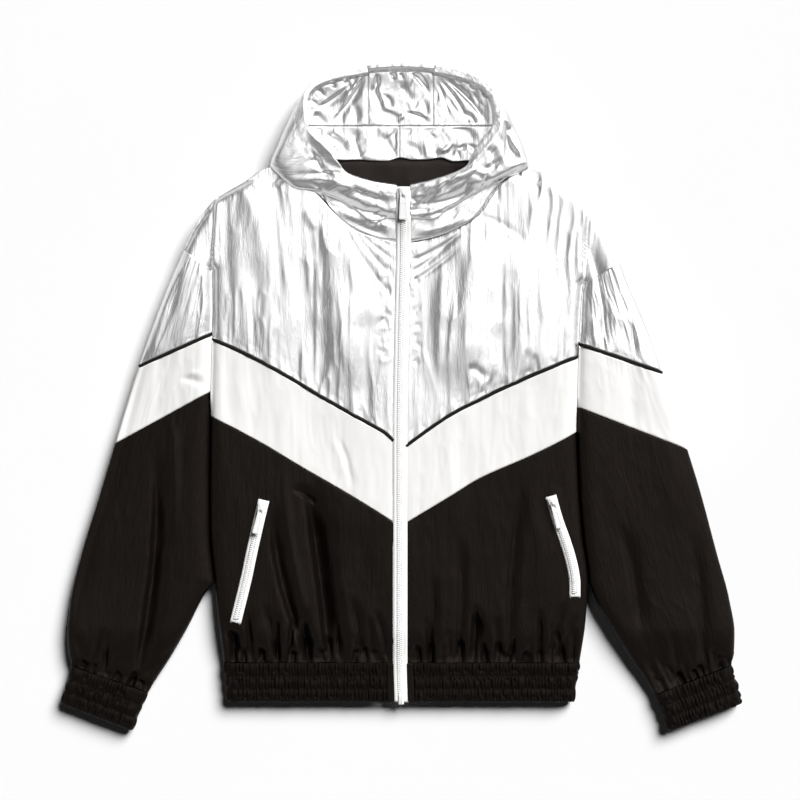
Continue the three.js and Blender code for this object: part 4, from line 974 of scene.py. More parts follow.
def knitted_black_polyester_lining(tree, scene):
    """Knitted polyester lining, dyed black: quite matt."""
    colour = scene.jacket_cloth.lining
    uv = node(tree, "TexCoord")["UV"]
    # drawn coarser than its real 0.6 mm wales
    fine = node(tree, "Mapping", {"Vector": uv, "Scale": per(8.8, 8.8)})["Vector"]
    knit = node(tree, "TexWave", {"Vector": fine, **THREADS})["Fac"]
    wide = node(tree, "Mapping", {"Vector": uv, "Scale": per(14, 20)})["Vector"]
    mottle = node(tree, "TexNoise", {"Vector": wide, "Scale": 1.0, "Detail": 3.0})["Fac"]
    tint = node(tree, "Mix", {
        "Factor": mottle, "A": darker(colour, 0.6), "B": colour,
    }, data_type="RGBA")["Result"]
    waved = node(tree, "Bump", {"Height": mottle, "Distance": 0.8 * MM, "Strength": 0.6})["Normal"]
    normal = node(tree, "Bump", {
        "Height": knit, "Distance": 0.06 * MM, "Strength": 0.4, "Normal": waved,
    })["Normal"]
    return node(tree, "BsdfPrincipled", {
        "Base Color": tint, "Roughness": 0.8, "Specular IOR Level": 0.15, "Normal": normal,
    })


def woven_white_polyester_tape(tree, scene):
    """Woven polyester zip tape, dyed white: matt, ribbed along its length."""
    colour = scene.jacket_zips.tape
    # drawn coarser than its real 0.5 mm ribs
    fine = node(tree, "Mapping", {"Vector": node(tree, "TexCoord")["UV"], "Scale": per(7.5, 7.5)})["Vector"]
    rib = node(tree, "TexWave", {"Vector": fine, **THREADS})["Fac"]
    tint = node(tree, "Mix", {
        "Factor": rib, "A": darker(colour, 0.95), "B": colour,
    }, data_type="RGBA")["Result"]
    normal = node(tree, "Bump", {"Height": rib, "Distance": 0.08 * MM, "Strength": 0.5})["Normal"]
    return node(tree, "BsdfPrincipled", {"Base Color": tint, "Roughness": 0.8, "Normal": normal})


def moulded_white_acetal(tree, scene):
    """Injection-moulded white acetal: smooth, slightly glossy."""
    colour = scene.jacket_zips.teeth
    # a moulding's faint unevenness, 6 mm across
    spot = node(tree, "TexNoise", {
        "Vector": node(tree, "TexCoord")["Object"], "Scale": 170.0, "Detail": 2.0,
    })["Fac"]
    tint = node(tree, "Mix", {
        "Factor": spot, "A": colour, "B": darker(colour, 0.95),
    }, data_type="RGBA")["Result"]
    normal = node(tree, "Bump", {"Height": spot, "Distance": 0.02 * MM, "Strength": 0.3})["Normal"]
    return node(tree, "BsdfPrincipled", {
        "Base Color": tint, "Roughness": 0.34, "IOR": 1.48, "Normal": normal,
    })


def enamelled_die_cast_zinc(tree, scene):
    """Die-cast zinc with sprayed white enamel: glossy, greyer towards its edges."""
    colour = scene.jacket_zips.enamel
    edge = node(tree, "Bevel", {"Radius": 0.5 * MM}, samples=4)["Normal"]
    flat = node(tree, "NewGeometry")["Normal"]
    turned = node(tree, "VectorMath", {0: edge, 1: flat}, operation="DOT_PRODUCT")["Value"]
    # greys the enamel's colour on its rounded edges, where the bevelled normal turns away from the face's
    # own
    edge_grey = node(tree, "MapRange", {
        "Value": turned, "From Min": 0.82, "From Max": 0.98, "To Min": 1.0, "To Max": 0.0,
    })["Result"]
    tint = node(tree, "Mix", {
        "Factor": edge_grey, "A": colour, "B": darker(colour, 0.82),
    }, data_type="RGBA")["Result"]
    return node(tree, "BsdfPrincipled", {
        "Base Color": tint, "Roughness": 0.28, "IOR": 1.5, "Coat Weight": 0.3, "Coat Roughness": 0.1,
    })


def twisted_thread(tree, colour):
    """Twisted polyester sewing thread: matt, with a slight twist."""
    twist = node(tree, "TexNoise", {"Vector": node(tree, "TexCoord")["Object"], "Scale": 900.0})["Fac"]
    tint = node(tree, "Mix", {
        "Factor": twist, "A": darker(colour, 0.82), "B": colour,
    }, data_type="RGBA")["Result"]
    return node(tree, "BsdfPrincipled", {"Base Color": tint, "Roughness": 0.7})


def twisted_white_polyester_thread(tree, scene):
    """The thread that sews white cloth."""
    return twisted_thread(tree, scene.jacket_stitches.on_white)


def twisted_grey_polyester_thread(tree, scene):
    """The thread that sews silver cloth."""
    return twisted_thread(tree, scene.jacket_stitches.on_silver)


def matt_white_floor_paint(tree, scene):
    """A studio's painted floor: white, quite matt, faintly mottled."""
    colour = scene.jacket_stage.floor
    mottle = node(tree, "TexNoise", {
        "Vector": node(tree, "TexCoord")["Object"], "Scale": 3.0, "Detail": 2.0,
    })["Fac"]
    tint = node(tree, "Mix", {
        "Factor": mottle, "A": colour, "B": darker(colour, 0.985),
    }, data_type="RGBA")["Result"]
    return node(tree, "BsdfPrincipled", {"Base Color": tint, "Roughness": 0.9, "Specular IOR Level": 0.0})


FINISHES = {
    "silver_taffeta": metallised_crushed_nylon_taffeta,
    "white_taffeta": woven_white_nylon_taffeta,
    "black_taffeta": woven_black_crinkled_nylon_taffeta,
    "black_elastic": shirred_black_nylon_over_elastic,
    "black_piping": woven_black_bias_piping,
    "black_lining": knitted_black_polyester_lining,
    "zip_tape": woven_white_polyester_tape,
    "zip_teeth": moulded_white_acetal,
    "enamelled_zinc": enamelled_die_cast_zinc,
    "white_thread": twisted_white_polyester_thread,
    "grey_thread": twisted_grey_polyester_thread,
    "floor_paint": matt_white_floor_paint,
}
MADE = {}


def finish(name):
    """The material of one finish, made once and named for what the real one is."""
    if name not in MADE:
        maker = FINISHES[name]
        made = bpy.data.materials.new(maker.__name__)
        made.use_nodes = True
        made.node_tree.nodes.clear()
        shader = maker(made.node_tree, bpy.context.scene)[0]
        node(made.node_tree, "OutputMaterial", {"Surface": shader})
        MADE[name] = made
    return MADE[name]


# ---- The surface of the laid garment ----

def pocket_line(side):
    """Points along a pocket's zip."""
    return arc_points(POCKETS[side], 3)[0]


def calm(side, x, up):
    """How much cloth may crease: less beside the front zip and the pocket zip."""
    zip_away = np.abs(x - zip_line(up)) - ZIP_WIDTH / 2
    pocket_away = distance_to([pocket_line(side)], x, up) - POCKET_ZIP_WIDTH / 2
    return (0.25 + 0.75 * smooth(zip_away / 9)) * (0.15 + 0.85 * smooth(pocket_away / 10))


def shoulder_fold(side, x, up):
    """The body's side fold carried on up to the shoulder: a soft edge with lower cloth outside it."""
    piece = SIDE[side]
    foot = SLEEVE_SEAMS["armhole"][side][1]
    share = (up - foot) / (SHOULDER_END - foot)
    line = mix(piece.body(foot), piece.outer(SHOULDER_END), share)
    out = (x - line) * piece.sign
    drop = 3.4 * smooth(out / 2.2) * np.exp(-np.maximum(out, 0) / 16)
    edge = 0.9 * np.exp(-((out / 1.7) ** 2)) - 0.5 * np.exp(-(((out + 4.4) / 1.0) ** 2))
    return (edge - drop) * smooth(share * 4 + 0.6) * smooth((1.02 - share) * 5)


def beside_armhole(height, up, near, kind):
    """Keeps the cloth from sinking deep where the sleeve is sewn to the body or lies on it."""
    start, rise = (438, 12) if kind == "silver" else (345, 40)
    sewn = smooth((up - start) / rise) * near
    return mix(height, np.maximum(height, thickness(up) * 0.84), sewn)


def front_height(side, kind, x, up, low):
    """The upper layer of a front above its lower seam line, with its creases."""
    piece = SIDE[side]
    height, share = top_height(piece.body_edges, x, up)
    free = held(share) * calm(side, x, up)
    look = bpy.context.scene.jacket_cloth
    if kind == "silver":
        ripple = crinkle(x, up, look.silver_crush, 3) + gathers(x, up - low, 8, 9, 0.9, 31)
        height = height + shoulder_fold(side, x, up)
        corner = np.hypot(x - piece.sign * SHOULDER_POINT[0], up - SHOULDER_POINT[1])
        height = mix(thickness(up) * FOLD_SHARE, height, smooth(corner / 30))
        beside_zip = sorted([(piece.sign * 10, 420), (piece.sign * 25, 600)])
        ripple = ripple + creased(x, up, strewn(34, *beside_zip, 13, 0.55, 65, 33 + piece.sign), 0, 2)
    elif kind == "black":
        ripple = soft_cloth(x, up, look.black_ripple, 11) + gathers(x, up - low, 6.5, 8, 2.6, 23)
        hem = ((piece.sign * 12, HEM_HEIGHT), (piece.sign * 218, HEM_HEIGHT))
        ripple = ripple + creased(x, up, darts(*hem, (0, 1), 8.5, 42, look.hem_pleats, 21 + piece.sign))
    else:
        ripple = soft_cloth(x, up, look.white_ripple, 17)
    if kind != "black":
        height = beside_armhole(height, up, np.abs(x) > ARMHOLE_X, kind)
    return height + free * (ripple + creased(x, up))


def seam_curves(side):
    """The seam lines across one front as functions of x."""
    lines = {}
    for name, rows in (("piping", PIPING[side]), ("band", BAND_END[side]), ("top", FRONT_TOP[side])):
        lines[name] = curve(*rows.T)
    lines["hem"] = lambda x: np.zeros(np.shape(x)) + HEM_HEIGHT
    return lines


def front_piece(side, name, cad, kind, low, high, edge, step, dips=(0.9, 0.9)):
    """One panel of a front, turned down into its seams by its dips."""
    piece = SIDE[side]
    places, count = across(piece.beside_zip, edge, roll, step)
    x, up = panel(low, high, places, count, step)
    z = front_height(side, kind, x, up, low(x))
    z = z - seam_dip(up - up[:1], dips[0]) - seam_dip(up[-1:] - up, dips[1])
    z = z - seam_dip(np.abs(x - piece.beside_zip(up)), 0.12, 1.0)
    grid = np.stack([x, up, z], 2)
    if kind == "silver":
        grid = np.concatenate([grid, turned_in(piece, grid[-1])])
    return cloth(f"{name}_{side}", grid, f"{kind}_taffeta", f"{cad}_{side}", uv=grid[:, :, :2] * MM)


def turned_in(piece, edge):
    """Rows that carry the shoulder edge of a yoke down to the back it is sewn to."""
    x, up, z = edge.T
    ground = under_height(piece.body_edges, x, up) + 0.2
    free = smooth((np.abs(x) - 96) / 14)
    low = np.minimum(ground, z)
    return np.stack([
        np.column_stack([x, up + 1.4 * share * free, mix(z, low, share * free)])
        for share in (0.3, 0.65, 1.0)
    ])


def cord(x, up, z, slope):
    """Rows of a round cord along a line of points that climbs by a slope; each row comes with how
    far it is moved up."""
    at = np.linspace(-1, 1, 7)
    long = np.sqrt(1 + slope**2)
    offsets, rises = at * (PIPING_WIDTH + 0.4) / 2, 1.5 * np.sqrt(np.maximum(1 - at * at, 0))
    return [(o / long, np.stack([x - o * slope / long, up + o / long, z + r], 1))
            for o, r in zip(offsets, rises)]


def chest_piping(piece, line):
    """The black cord sewn between the white band and the silver yoke."""
    places, count = across(piece.beside_zip, piece.body, roll, 2.0)
    up = settled(line, places, count)
    x = places(up)
    height, share = top_height(piece.body_edges, x, up)
    free = held(share) * calm(piece.name, x, up)
    ripple = 0.5 * (crinkle(x, up + 3, 1.0, 3) + soft_cloth(x, up - 3, 0.6, 17))
    z = height + free * (ripple + creased(x, up)) - 0.5
    grid = np.stack([row for _, row in cord(x, up, z, np.gradient(up, x))])
    return cloth(f"chest_piping_{piece.name}", grid, "black_piping", f"front_piping_{piece.name}", CORD_WALL)


class JACKET_OT_fronts(bpy.types.Operator):
    """Make the lower fronts, the white bands, the piping and the crushed silver yokes"""
    bl_idname = "jacket.fronts"
    bl_label = "Fronts"

    def execute(self, context):
        for side, piece in SIDE.items():
            lines = seam_curves(side)
            half = PIPING_WIDTH / 2
            under, over = (shifted(lines["piping"], way * half * 0.9) for way in (-1, 1))
            lower = front_piece(side, "lower_front", "front_lower", "black", lines["hem"],
                                lines["band"], piece.body, 2.4, (0.2, 0.9))
            band = front_piece(side, "chest_band", "front_band", "white", lines["band"], under,
                               piece.body, 2.2)
            yoke = front_piece(side, "silver_yoke", "front_yoke", "silver", over, lines["top"],
                               piece.yoke_edge, 2.05, (0.9, 0.3))
            piping = chest_piping(piece, lines["piping"])
        return {"FINISHED"}


def back_piece(name, cad, kind, low, high, edge, flat):
    """One panel of the back across both sides; the cord between two panels has no flat size."""
    grids = []
    for piece in SIDE.values():
        places, count = across(middle_line, getattr(piece, edge), even_roll, 5, 7)
        x, up = panel(low, high, places, count, 5)
        if not flat:
            x, up = x[[0, -1]], up[[0, -1]]
        grids.append(np.stack([x, up, under_height(piece.body_edges, x, up)], 2))
    rows = min(len(g) for g in grids)
    grids = [resampled(g, rows) for g in grids]
    grid = np.concatenate([grids[0][:, ::-1], grids[1][:, 1:]], 1)
    made = cloth(name, grid, kind, cad, facing=DOWN, uv=grid[:, :, :2] * MM)


def resampled(grid, rows):
    """The same grid with another number of rows, so that two sides can be joined."""
    at = np.linspace(0, len(grid) - 1, rows)
    low = np.floor(at).astype(int)
    high = np.minimum(low + 1, len(grid) - 1)
    return mix(grid[low], grid[high], (at - low)[:, None, None])


class JACKET_OT_back(bpy.types.Operator):
    """Make the back, which lies on the ground, in the same colours as the fronts"""
    bl_idname = "jacket.back"
    bl_label = "Back"

    def execute(self, context):
        half = PIPING_WIDTH / 2

        def across_line(name, shift):
            right, left = SLEEVE_SEAMS[name]["right"][1], SLEEVE_SEAMS[name]["left"][1]
            rx, lx = SIDE["right"].body(right), SIDE["left"].body(left)
            rup = seam_curves("right")[name](rx)
            lup = seam_curves("left")[name](lx)
            return lambda x: mix(rup, lup, (x - rx) / (lx - rx)) + shift

        top = curve(*BACK_TOP.T)
        hem = seam_curves("right")["hem"]
        back_piece("lower_back", "back_lower", "black_taffeta", hem, across_line("band", 0),
                   "body", (0.47, 0.31))
        back_piece("back_band_cloth", "back_band", "white_taffeta", across_line("band", 0),
                   across_line("piping", -half), "body", (0.47, 0.1))
        back_piece("back_piping_cord", "back_piping", "black_piping", across_line("piping", -half),
                   across_line("piping", half), "body", None)
        back_piece("silver_back", "back_yoke", "silver_taffeta", across_line("piping", half), top,
                   "yoke_edge", (0.56, 0.24))
        return {"FINISHED"}


def sleeve_places(rolled, count, steps):
    """Shares across a sleeve from its outer fold to its inner one, close together on the rolls."""
    roll_over = rolled * (1 - np.cos(quarter_turn(steps)))
    middle = np.linspace(rolled, 1 - rolled, count)[1:-1]
    return np.concatenate([roll_over, middle, 1 - roll_over[::-1]])


def sleeve_plan(piece, outer_up, inner_up, places):
    """Points across a sleeve, the height of its upper layer, which sinks towards its outer fold,
    and how far in they are."""
    x = mix(piece.outer(outer_up), piece.inner(inner_up), places)
    up = mix(outer_up, inner_up, places)
    height, share = top_height(piece.sleeve_edges, x, up)
    middle = smooth((up - 40) / 130) * smooth((500 - up) / 160)
    return x, up, height - SLEEVE_SAG[piece.name] * (1 - places) * middle * smooth(share * 2.5), share


def sleeve_under(piece, x, up, shift=0):
    """The layer that lies on the ground, from the inner fold back to the outer one."""
    ground = under_height(piece.sleeve_edges, x, up)
    return np.stack([x, up + shift, ground], -1)[..., -2:0:-2, :]


def sleeve_tube(piece, name, cad, kind, low, high, shifts, step):
    """One ring of a sleeve from its low to its high seam, each moved up by its shift."""
    shares = sleeve_places(SLEEVE_ROLL, int(SLEEVE_WIDTH * 0.66 / step), 9)
    low_outer, low_inner = np.array(SLEEVE_SEAMS[low][piece.name]) + shifts[0]
    high_outer, high_inner = np.array(SLEEVE_SEAMS[high][piece.name]) + shifts[1]
    long = max(high_outer - low_outer, high_inner - low_inner)
    edge = EDGE_ROWS[:-1] / long
    inside = np.linspace(edge[-1], 1 - edge[-1], int(long / step))[1:-1]
    t = np.concatenate([edge, inside, 1 - edge[::-1]])
    t = t[:, None]
    x, up, height, share = sleeve_plan(
        piece, mix(low_outer, high_outer, t), mix(low_inner, high_inner, t), shares,
    )
    if kind != "black":
        height = beside_armhole(height, up, shares > 0.5, kind)
    from_low, from_high = t * long + 0 * x, (1 - t) * long + 0 * x
    u, v = shares * SLEEVE_WIDTH + 0 * x + (500 if piece.sign > 0 else 0), from_low + low_outer
    look = bpy.context.scene.jacket_cloth
    if kind == "silver":
        ripple = crinkle(u, v, 0.9 * look.silver_crush, 41) + gathers(u, from_low, 8, 8, 0.5, 43)
    elif kind == "black":
        ripple = soft_cloth(u, v, 0.92 * look.black_ripple, 47) + gathers(u, from_low, 6, 8, 2.4, 51)
        ends = (x[0, 0], up[0, 0]), (x[0, -1], up[0, -1])
        way = np.array([ends[0][1] - ends[1][1], ends[1][0] - ends[0][0]]) * -piece.sign
        way = way / np.hypot(*way)
        ripple = ripple + creased(x, up, darts(*ends, way, 8, 34, look.hem_pleats, 49 + piece.sign))
    else:
        ripple = soft_cloth(u, v, 1.1 * look.white_ripple, 53)
    z = height + held(share) * (ripple + creased(x, up))
    z = z - seam_dip(from_low, 0.2 if low == "cuff" else 0.9) - seam_dip(from_high, 0.9)
    grid = np.concatenate([np.stack([x, up, z], 2), sleeve_under(piece, x, up)], 1)
    # the weave runs along the sleeve, which leans outwards
    lean = -piece.sign * SLEEVE_LEAN
    ring_x, ring_up = np.concatenate([grid, grid[:, :1]], 1)[:, :, :2].transpose(2, 0, 1)
    uv = np.stack([ring_x - lean * ring_up, ring_up + lean * ring_x], 2) * MM
    made = cloth(f"{name}_{piece.name}", grid, f"{kind}_taffeta", f"{cad}_{piece.name}", closed=True,
                 facing=(piece.sign, 0, 0), probe=0, uv=uv)


def sleeve_piping(piece):
    """The cord round a sleeve, flattened with it."""
    shares = sleeve_places(SLEEVE_ROLL, int(SLEEVE_WIDTH * 0.66 / 2.2), 9)
    outer_up, inner_up = SLEEVE_SEAMS["piping"][piece.name]
    x, up, height, share = sleeve_plan(piece, outer_up, inner_up, shares)
    z = height + held(share) * creased(x, up) - 0.4
    slope = (inner_up - outer_up) / (piece.inner(inner_up) - piece.outer(outer_up))
    rows = [np.concatenate([top, sleeve_under(piece, x, up, shift)])
            for shift, top in cord(x, up, z, slope)]
    return cloth(f"sleeve_cord_{piece.name}", np.stack(rows), "black_piping",
                 f"sleeve_piping_{piece.name}", CORD_WALL, closed=True, probe=len(shares) // 2)


class JACKET_OT_sleeves(bpy.types.Operator):
    """Make both sleeves as flattened tubes: silver, piping, white band and black"""
    bl_idname = "jacket.sleeves"
    bl_label = "Sleeves"

    def execute(self, context):
        half = PIPING_WIDTH / 2
        for piece in SIDE.values():
            piping = sleeve_piping(piece)
            sleeve_tube(piece, "sleeve_head", "sleeve_top", "silver", "piping", "armhole",
                        (half, 0), 1.8)
            sleeve_tube(piece, "white_sleeve", "sleeve_band", "white", "band", "piping",
                        (0, -half), 2.2)
            sleeve_tube(piece, "black_sleeve", "sleeve_lower", "black", "cuff", "band",
                        (0, 0), 2.2)
        return {"FINISHED"}


def ribbing(u, share, deep, seed):
    """Shirred elastic: ribs across the band that swell between the stitch lines, in mm."""
    channel = share * CHANNELS
    bulge = np.abs(np.sin(math.pi * channel))
    index = np.floor(np.clip(channel, 0, CHANNELS - 0.001))
    place = u / 4.1 + 0.9 * noise(u / 23, index * 3.1, seed)
    place = place + 0.25 * noise(u / 5, index * 7.7, seed + 1)
    rib = 0.8 - ridged(place * 1.6, share * 4.0 + index * 0.2, seed + 2)
    rib = rib + 0.5 * (0.5 + 0.5 * np.cos(2 * math.pi * place))
    return deep * (rib - 0.5) * (0.45 + 0.55 * bulge) + 1.5 * bulge**0.7


def shirred_hem():
    """The elastic band all round the hem, from one side of the zip to the other."""
    shares = np.linspace(0, 1, 41)
    up = shares[:, None] * HEM_HEIGHT
    parts = []
    for piece in SIDE.values():
        def inside(at):
            return piece.beside_zip(at, TAB_WIDTH + 2 * SEAM_GAP)

        places, count = across(inside, piece.body, roll, 1.05, 12)
        at = up + np.zeros((1, count))
        x = places(at)
        height, share = top_height(piece.body_edges, x, at)
        ribs = ribbing(x, shares[:, None] + 0 * x, bpy.context.scene.jacket_cloth.rib_depth, 61)
        turn = 0.7 * (1 - smooth(at / 2.2))
        uneven = 0.8 * (noise(x / 3.2, x * 0, 63) - 0.5) * (1 - smooth(at / 16))
        out = (ribs - 0.7) * 0.5 * (1 - share)
        z = height + held(share, RIB_HOLD) * ribs - turn
        front = np.stack([x + piece.sign * out, at + uneven, z], 2)
        under_places, under_count = across(middle_line, piece.body, even_roll, 6, 5)
        at = up + np.zeros((1, under_count))
        x = under_places(at)
        under = np.stack([x, at, under_height(piece.body_edges, x, at)], 2)
        parts.append((front, under))
    (front_r, under_r), (front_l, under_l) = parts
    grid = np.concatenate([front_r, under_r[:, -2::-1], under_l[:, 1:-1], front_l[:, ::-1]], 1)
    made = cloth("shirred_hem", grid, "black_elastic", "hem_band", facing=DOWN)


def plain_hem_end(piece):
    """The plain end of the hem beside the zip, folded and sewn down."""
    shares = np.linspace(0, 1, 30)
    offsets = np.linspace(0, TAB_WIDTH, 10)
    up = shares[:, None] * HEM_HEIGHT + 0 * offsets
    x = piece.beside_zip(up, SEAM_GAP + offsets)
    height, _ = top_height(piece.body_edges, x, up)
    edge = np.minimum(offsets, TAB_WIDTH - offsets)
    z = height + 1.0 - seam_dip(edge + 0 * up, 0.8, 1.5) + 0.2 * soft_cloth(x, up, 1, 71)
    z = z - 0.9 * (1 - smooth(np.minimum(up, HEM_HEIGHT - up) / 1.6))
    made = cloth(f"plain_hem_end_{piece.name}", np.stack([x, up, z], 2), "black_taffeta",
                 f"hem_tab_{piece.name}", 1.2, slot="black_elastic")


def shirred_cuff(piece):
    """The elastic cuff at the end of a sleeve."""
    shares = np.linspace(0, 1, 44)[:, None]
    low_outer, low_inner = SLEEVE_SEAMS["end"][piece.name]
    high_outer, high_inner = SLEEVE_SEAMS["cuff"][piece.name]
    places = sleeve_places(CUFF_ROLL, 74, 10)
    x, up, height, share = sleeve_plan(
        piece, mix(low_outer, high_outer, shares), mix(low_inner, high_inner, shares), places,
    )
    u = places * CUFF_WIDTH + 0 * x + (300 if piece.sign > 0 else 0)
    ribs = ribbing(u, shares + 0 * x, bpy.context.scene.jacket_cloth.rib_depth, 67)
    away = shares * CUFF_LENGTH + 0 * x
    z = height + held(share, RIB_HOLD) * ribs - 0.7 * (1 - smooth(away / 2.2))
    spread = (ribs - 0.6) * 0.9 * (1 - share)
    end = 0.9 * (noise(u / 3.4, u * 0, 69) - 0.5) * (1 - smooth(away / 14))
    way = np.sign(0.5 - places) * piece.sign
    top = np.stack([x + way * spread, up + end, z], 2)
    grid = np.concatenate([top, sleeve_under(piece, x, up)], 1)
    made = cloth(f"shirred_cuff_{piece.name}", grid, "black_elastic", f"cuff_{piece.name}", closed=True,
                 facing=(piece.sign, 0, 0), probe=0)


class JACKET_OT_elastic(bpy.types.Operator):
    """Make the shirred hem, its two plain ends beside the zip, and both cuffs"""
    bl_idname = "jacket.elastic"
    bl_label = "Elastic hem and cuffs"

    def execute(self, context):
        shirred_hem()
        for piece in SIDE.values():
            plain_hem_end(piece)
            shirred_cuff(piece)
        return {"FINISHED"}


HOOD_CREASES = table(FOLD, """
    131 722 134 672 0 3 26 4.2;
    # collar, right side
    -92 652 -6 634 -3 7 7 -1.6; -88 634 -6 603 -5 6 5 3; -80 616 -6 592 -4 5 5 -2.2;
    -76 606 -6 579 -3 3 3 1.8; -60 640 -12 622 -2 4 4 1.2; -40 650 -10 640 0 3 3 1;
    # collar, left side
    14 641 96 664 2 6 6 -1.6; 14 618 92 640 5 7 8 3.4; 14 586 84 606 6 7 6 -3.2; 14 602 76 622 4 4 4 1.6;
    50 640 70 662 1 3 3 1.2; 14 577 86 602 4 2.4 2.4 1.4;
    # right lobe
    -136 657 -68 660 1 2.4 3 1.2; -134 651 -74 650 1 3 3 -1; -126 700 -115 692 0 2.4 3 1;
    -120 671 -96 677 1 3 3 1.1; -146 690 -128 720 2 6 6 1; -150 664 -120 690 3 6 7 -1.2;
    -108 690 -92 660 -4 5 5 1.6;
    # left lobe
    50 608 111 647 2 4 9 1.8; 94 640 154 667 3 4 11 2.2; 130 708 150 676 -3 9 3 1.6;
    110 690 116 662 2 3 8 1.4; 100 662 128 676 1 3 6 1; 122 740 138 724 0 3 4 1;
""")
INSIDE_CREASES = table(FOLD, """
    # upper lining, right side
    -42 788 -88 722 2 2 5 2.6; -47 786 -76 742 0 3 2 -1.6; -56 779 -112 741 3 2 3 1.3;
    -64 764 -105 743 1 3 3 1; -60 752 -54 724 1 3 6 1.5; -72 784 -66 776 0 2 2 1.2;
    -88 779 -80 768 0 2 2 1.2; -104 770 -94 757 0 2 2 1.2; -114 756 -102 746 0 2 2 1;
    -112 742 -92 722 1 7 4 1.4;
    # upper lining, middle
    -28 789 -33 764 1 2.4 4 2.8; -38 774 -22 736 3 7 3 2.6; -21 762 -11 744 2 2.4 3.4 2.2;
    -12 791 -9 778 1 2 3 1.8; 13 789 37 762 2 2.4 4 2.4; 0 778 18 750 -2 3 7 1.8; 30 756 33 734 1 2.4 3 1.4;
    -32 742 4 728 2 8 3 2.2; -1 725 7 739 -1 2 2 -1.5; 7 739 38 727 2 5 2 2.2; 22 788 28 776 0 2 2 1.2;
    0 790 3 780 0 2 2 1.2;
    # upper lining, left side
    43 787 64 727 1 2 3.4 1.8; 45 786 86 726 3 2.4 3 2; 48 786 109 725 5 2.4 4 1.8;
    59 763 76 737 -3 3 3.4 2.6; 76 737 88 727 1 3 4 3; 113 756 128 730 3 3 5 2.6; 82 738 95 723 2 2 3 2.2;
    70 783 76 774 0 2 2 1.2; 88 777 94 766 0 2 2 1.2; 104 768 108 756 0 2 2 1.2;
    # stand, right and left
    -96 712 -66 690 3 4 4 2; -84 700 -76 690 1 2 2 -1.2; -28 714 -4 680 2 8 6 2.2; -8 718 -5 690 0 2 2 1;
    6 700 30 682 2 6 6 1.4; 44 690 66 700 3 3 4 -2; 66 700 60 684 2 3 4 2.2; 72 692 84 699 1 3 3 2;
    84 699 98 688 1 3 3 1.8; 58 722 96 706 3 6 6 1.8; 36 712 46 706 0 2 2 1; -52 716 -60 700 0 5 5 1.2;
""")


def hood_lines(side, step=1.9):
    """The lip, the outer fold and the lower seam of one side of the hood, evenly resampled."""
    lines = np.column_stack(list(HOOD[side].values())).reshape(-1, 3, 3)
    walk = np.linalg.norm(np.diff(lines[:, :2, :2], axis=0), axis=2).sum(1)
    at = np.concatenate([[0], np.cumsum(walk / 2)])
    spots = np.linspace(0, at[-1], int(at[-1] / step))
    return [np.stack([curve(at, lines[:, j, k])(spots) for k in range(3)], 1) for j in range(3)]


CASING_SEAMS = {}  # the line along which each side's casing is sewn, laid when that side is made

LIP = np.concatenate([hood_lines("right", 4)[0], hood_lines("left", 4)[0][::-1]])


def from_lip(x, up):
    """Distance of each point to the hood's lip."""
    return distance_to([LIP[:, :2]], x, up)


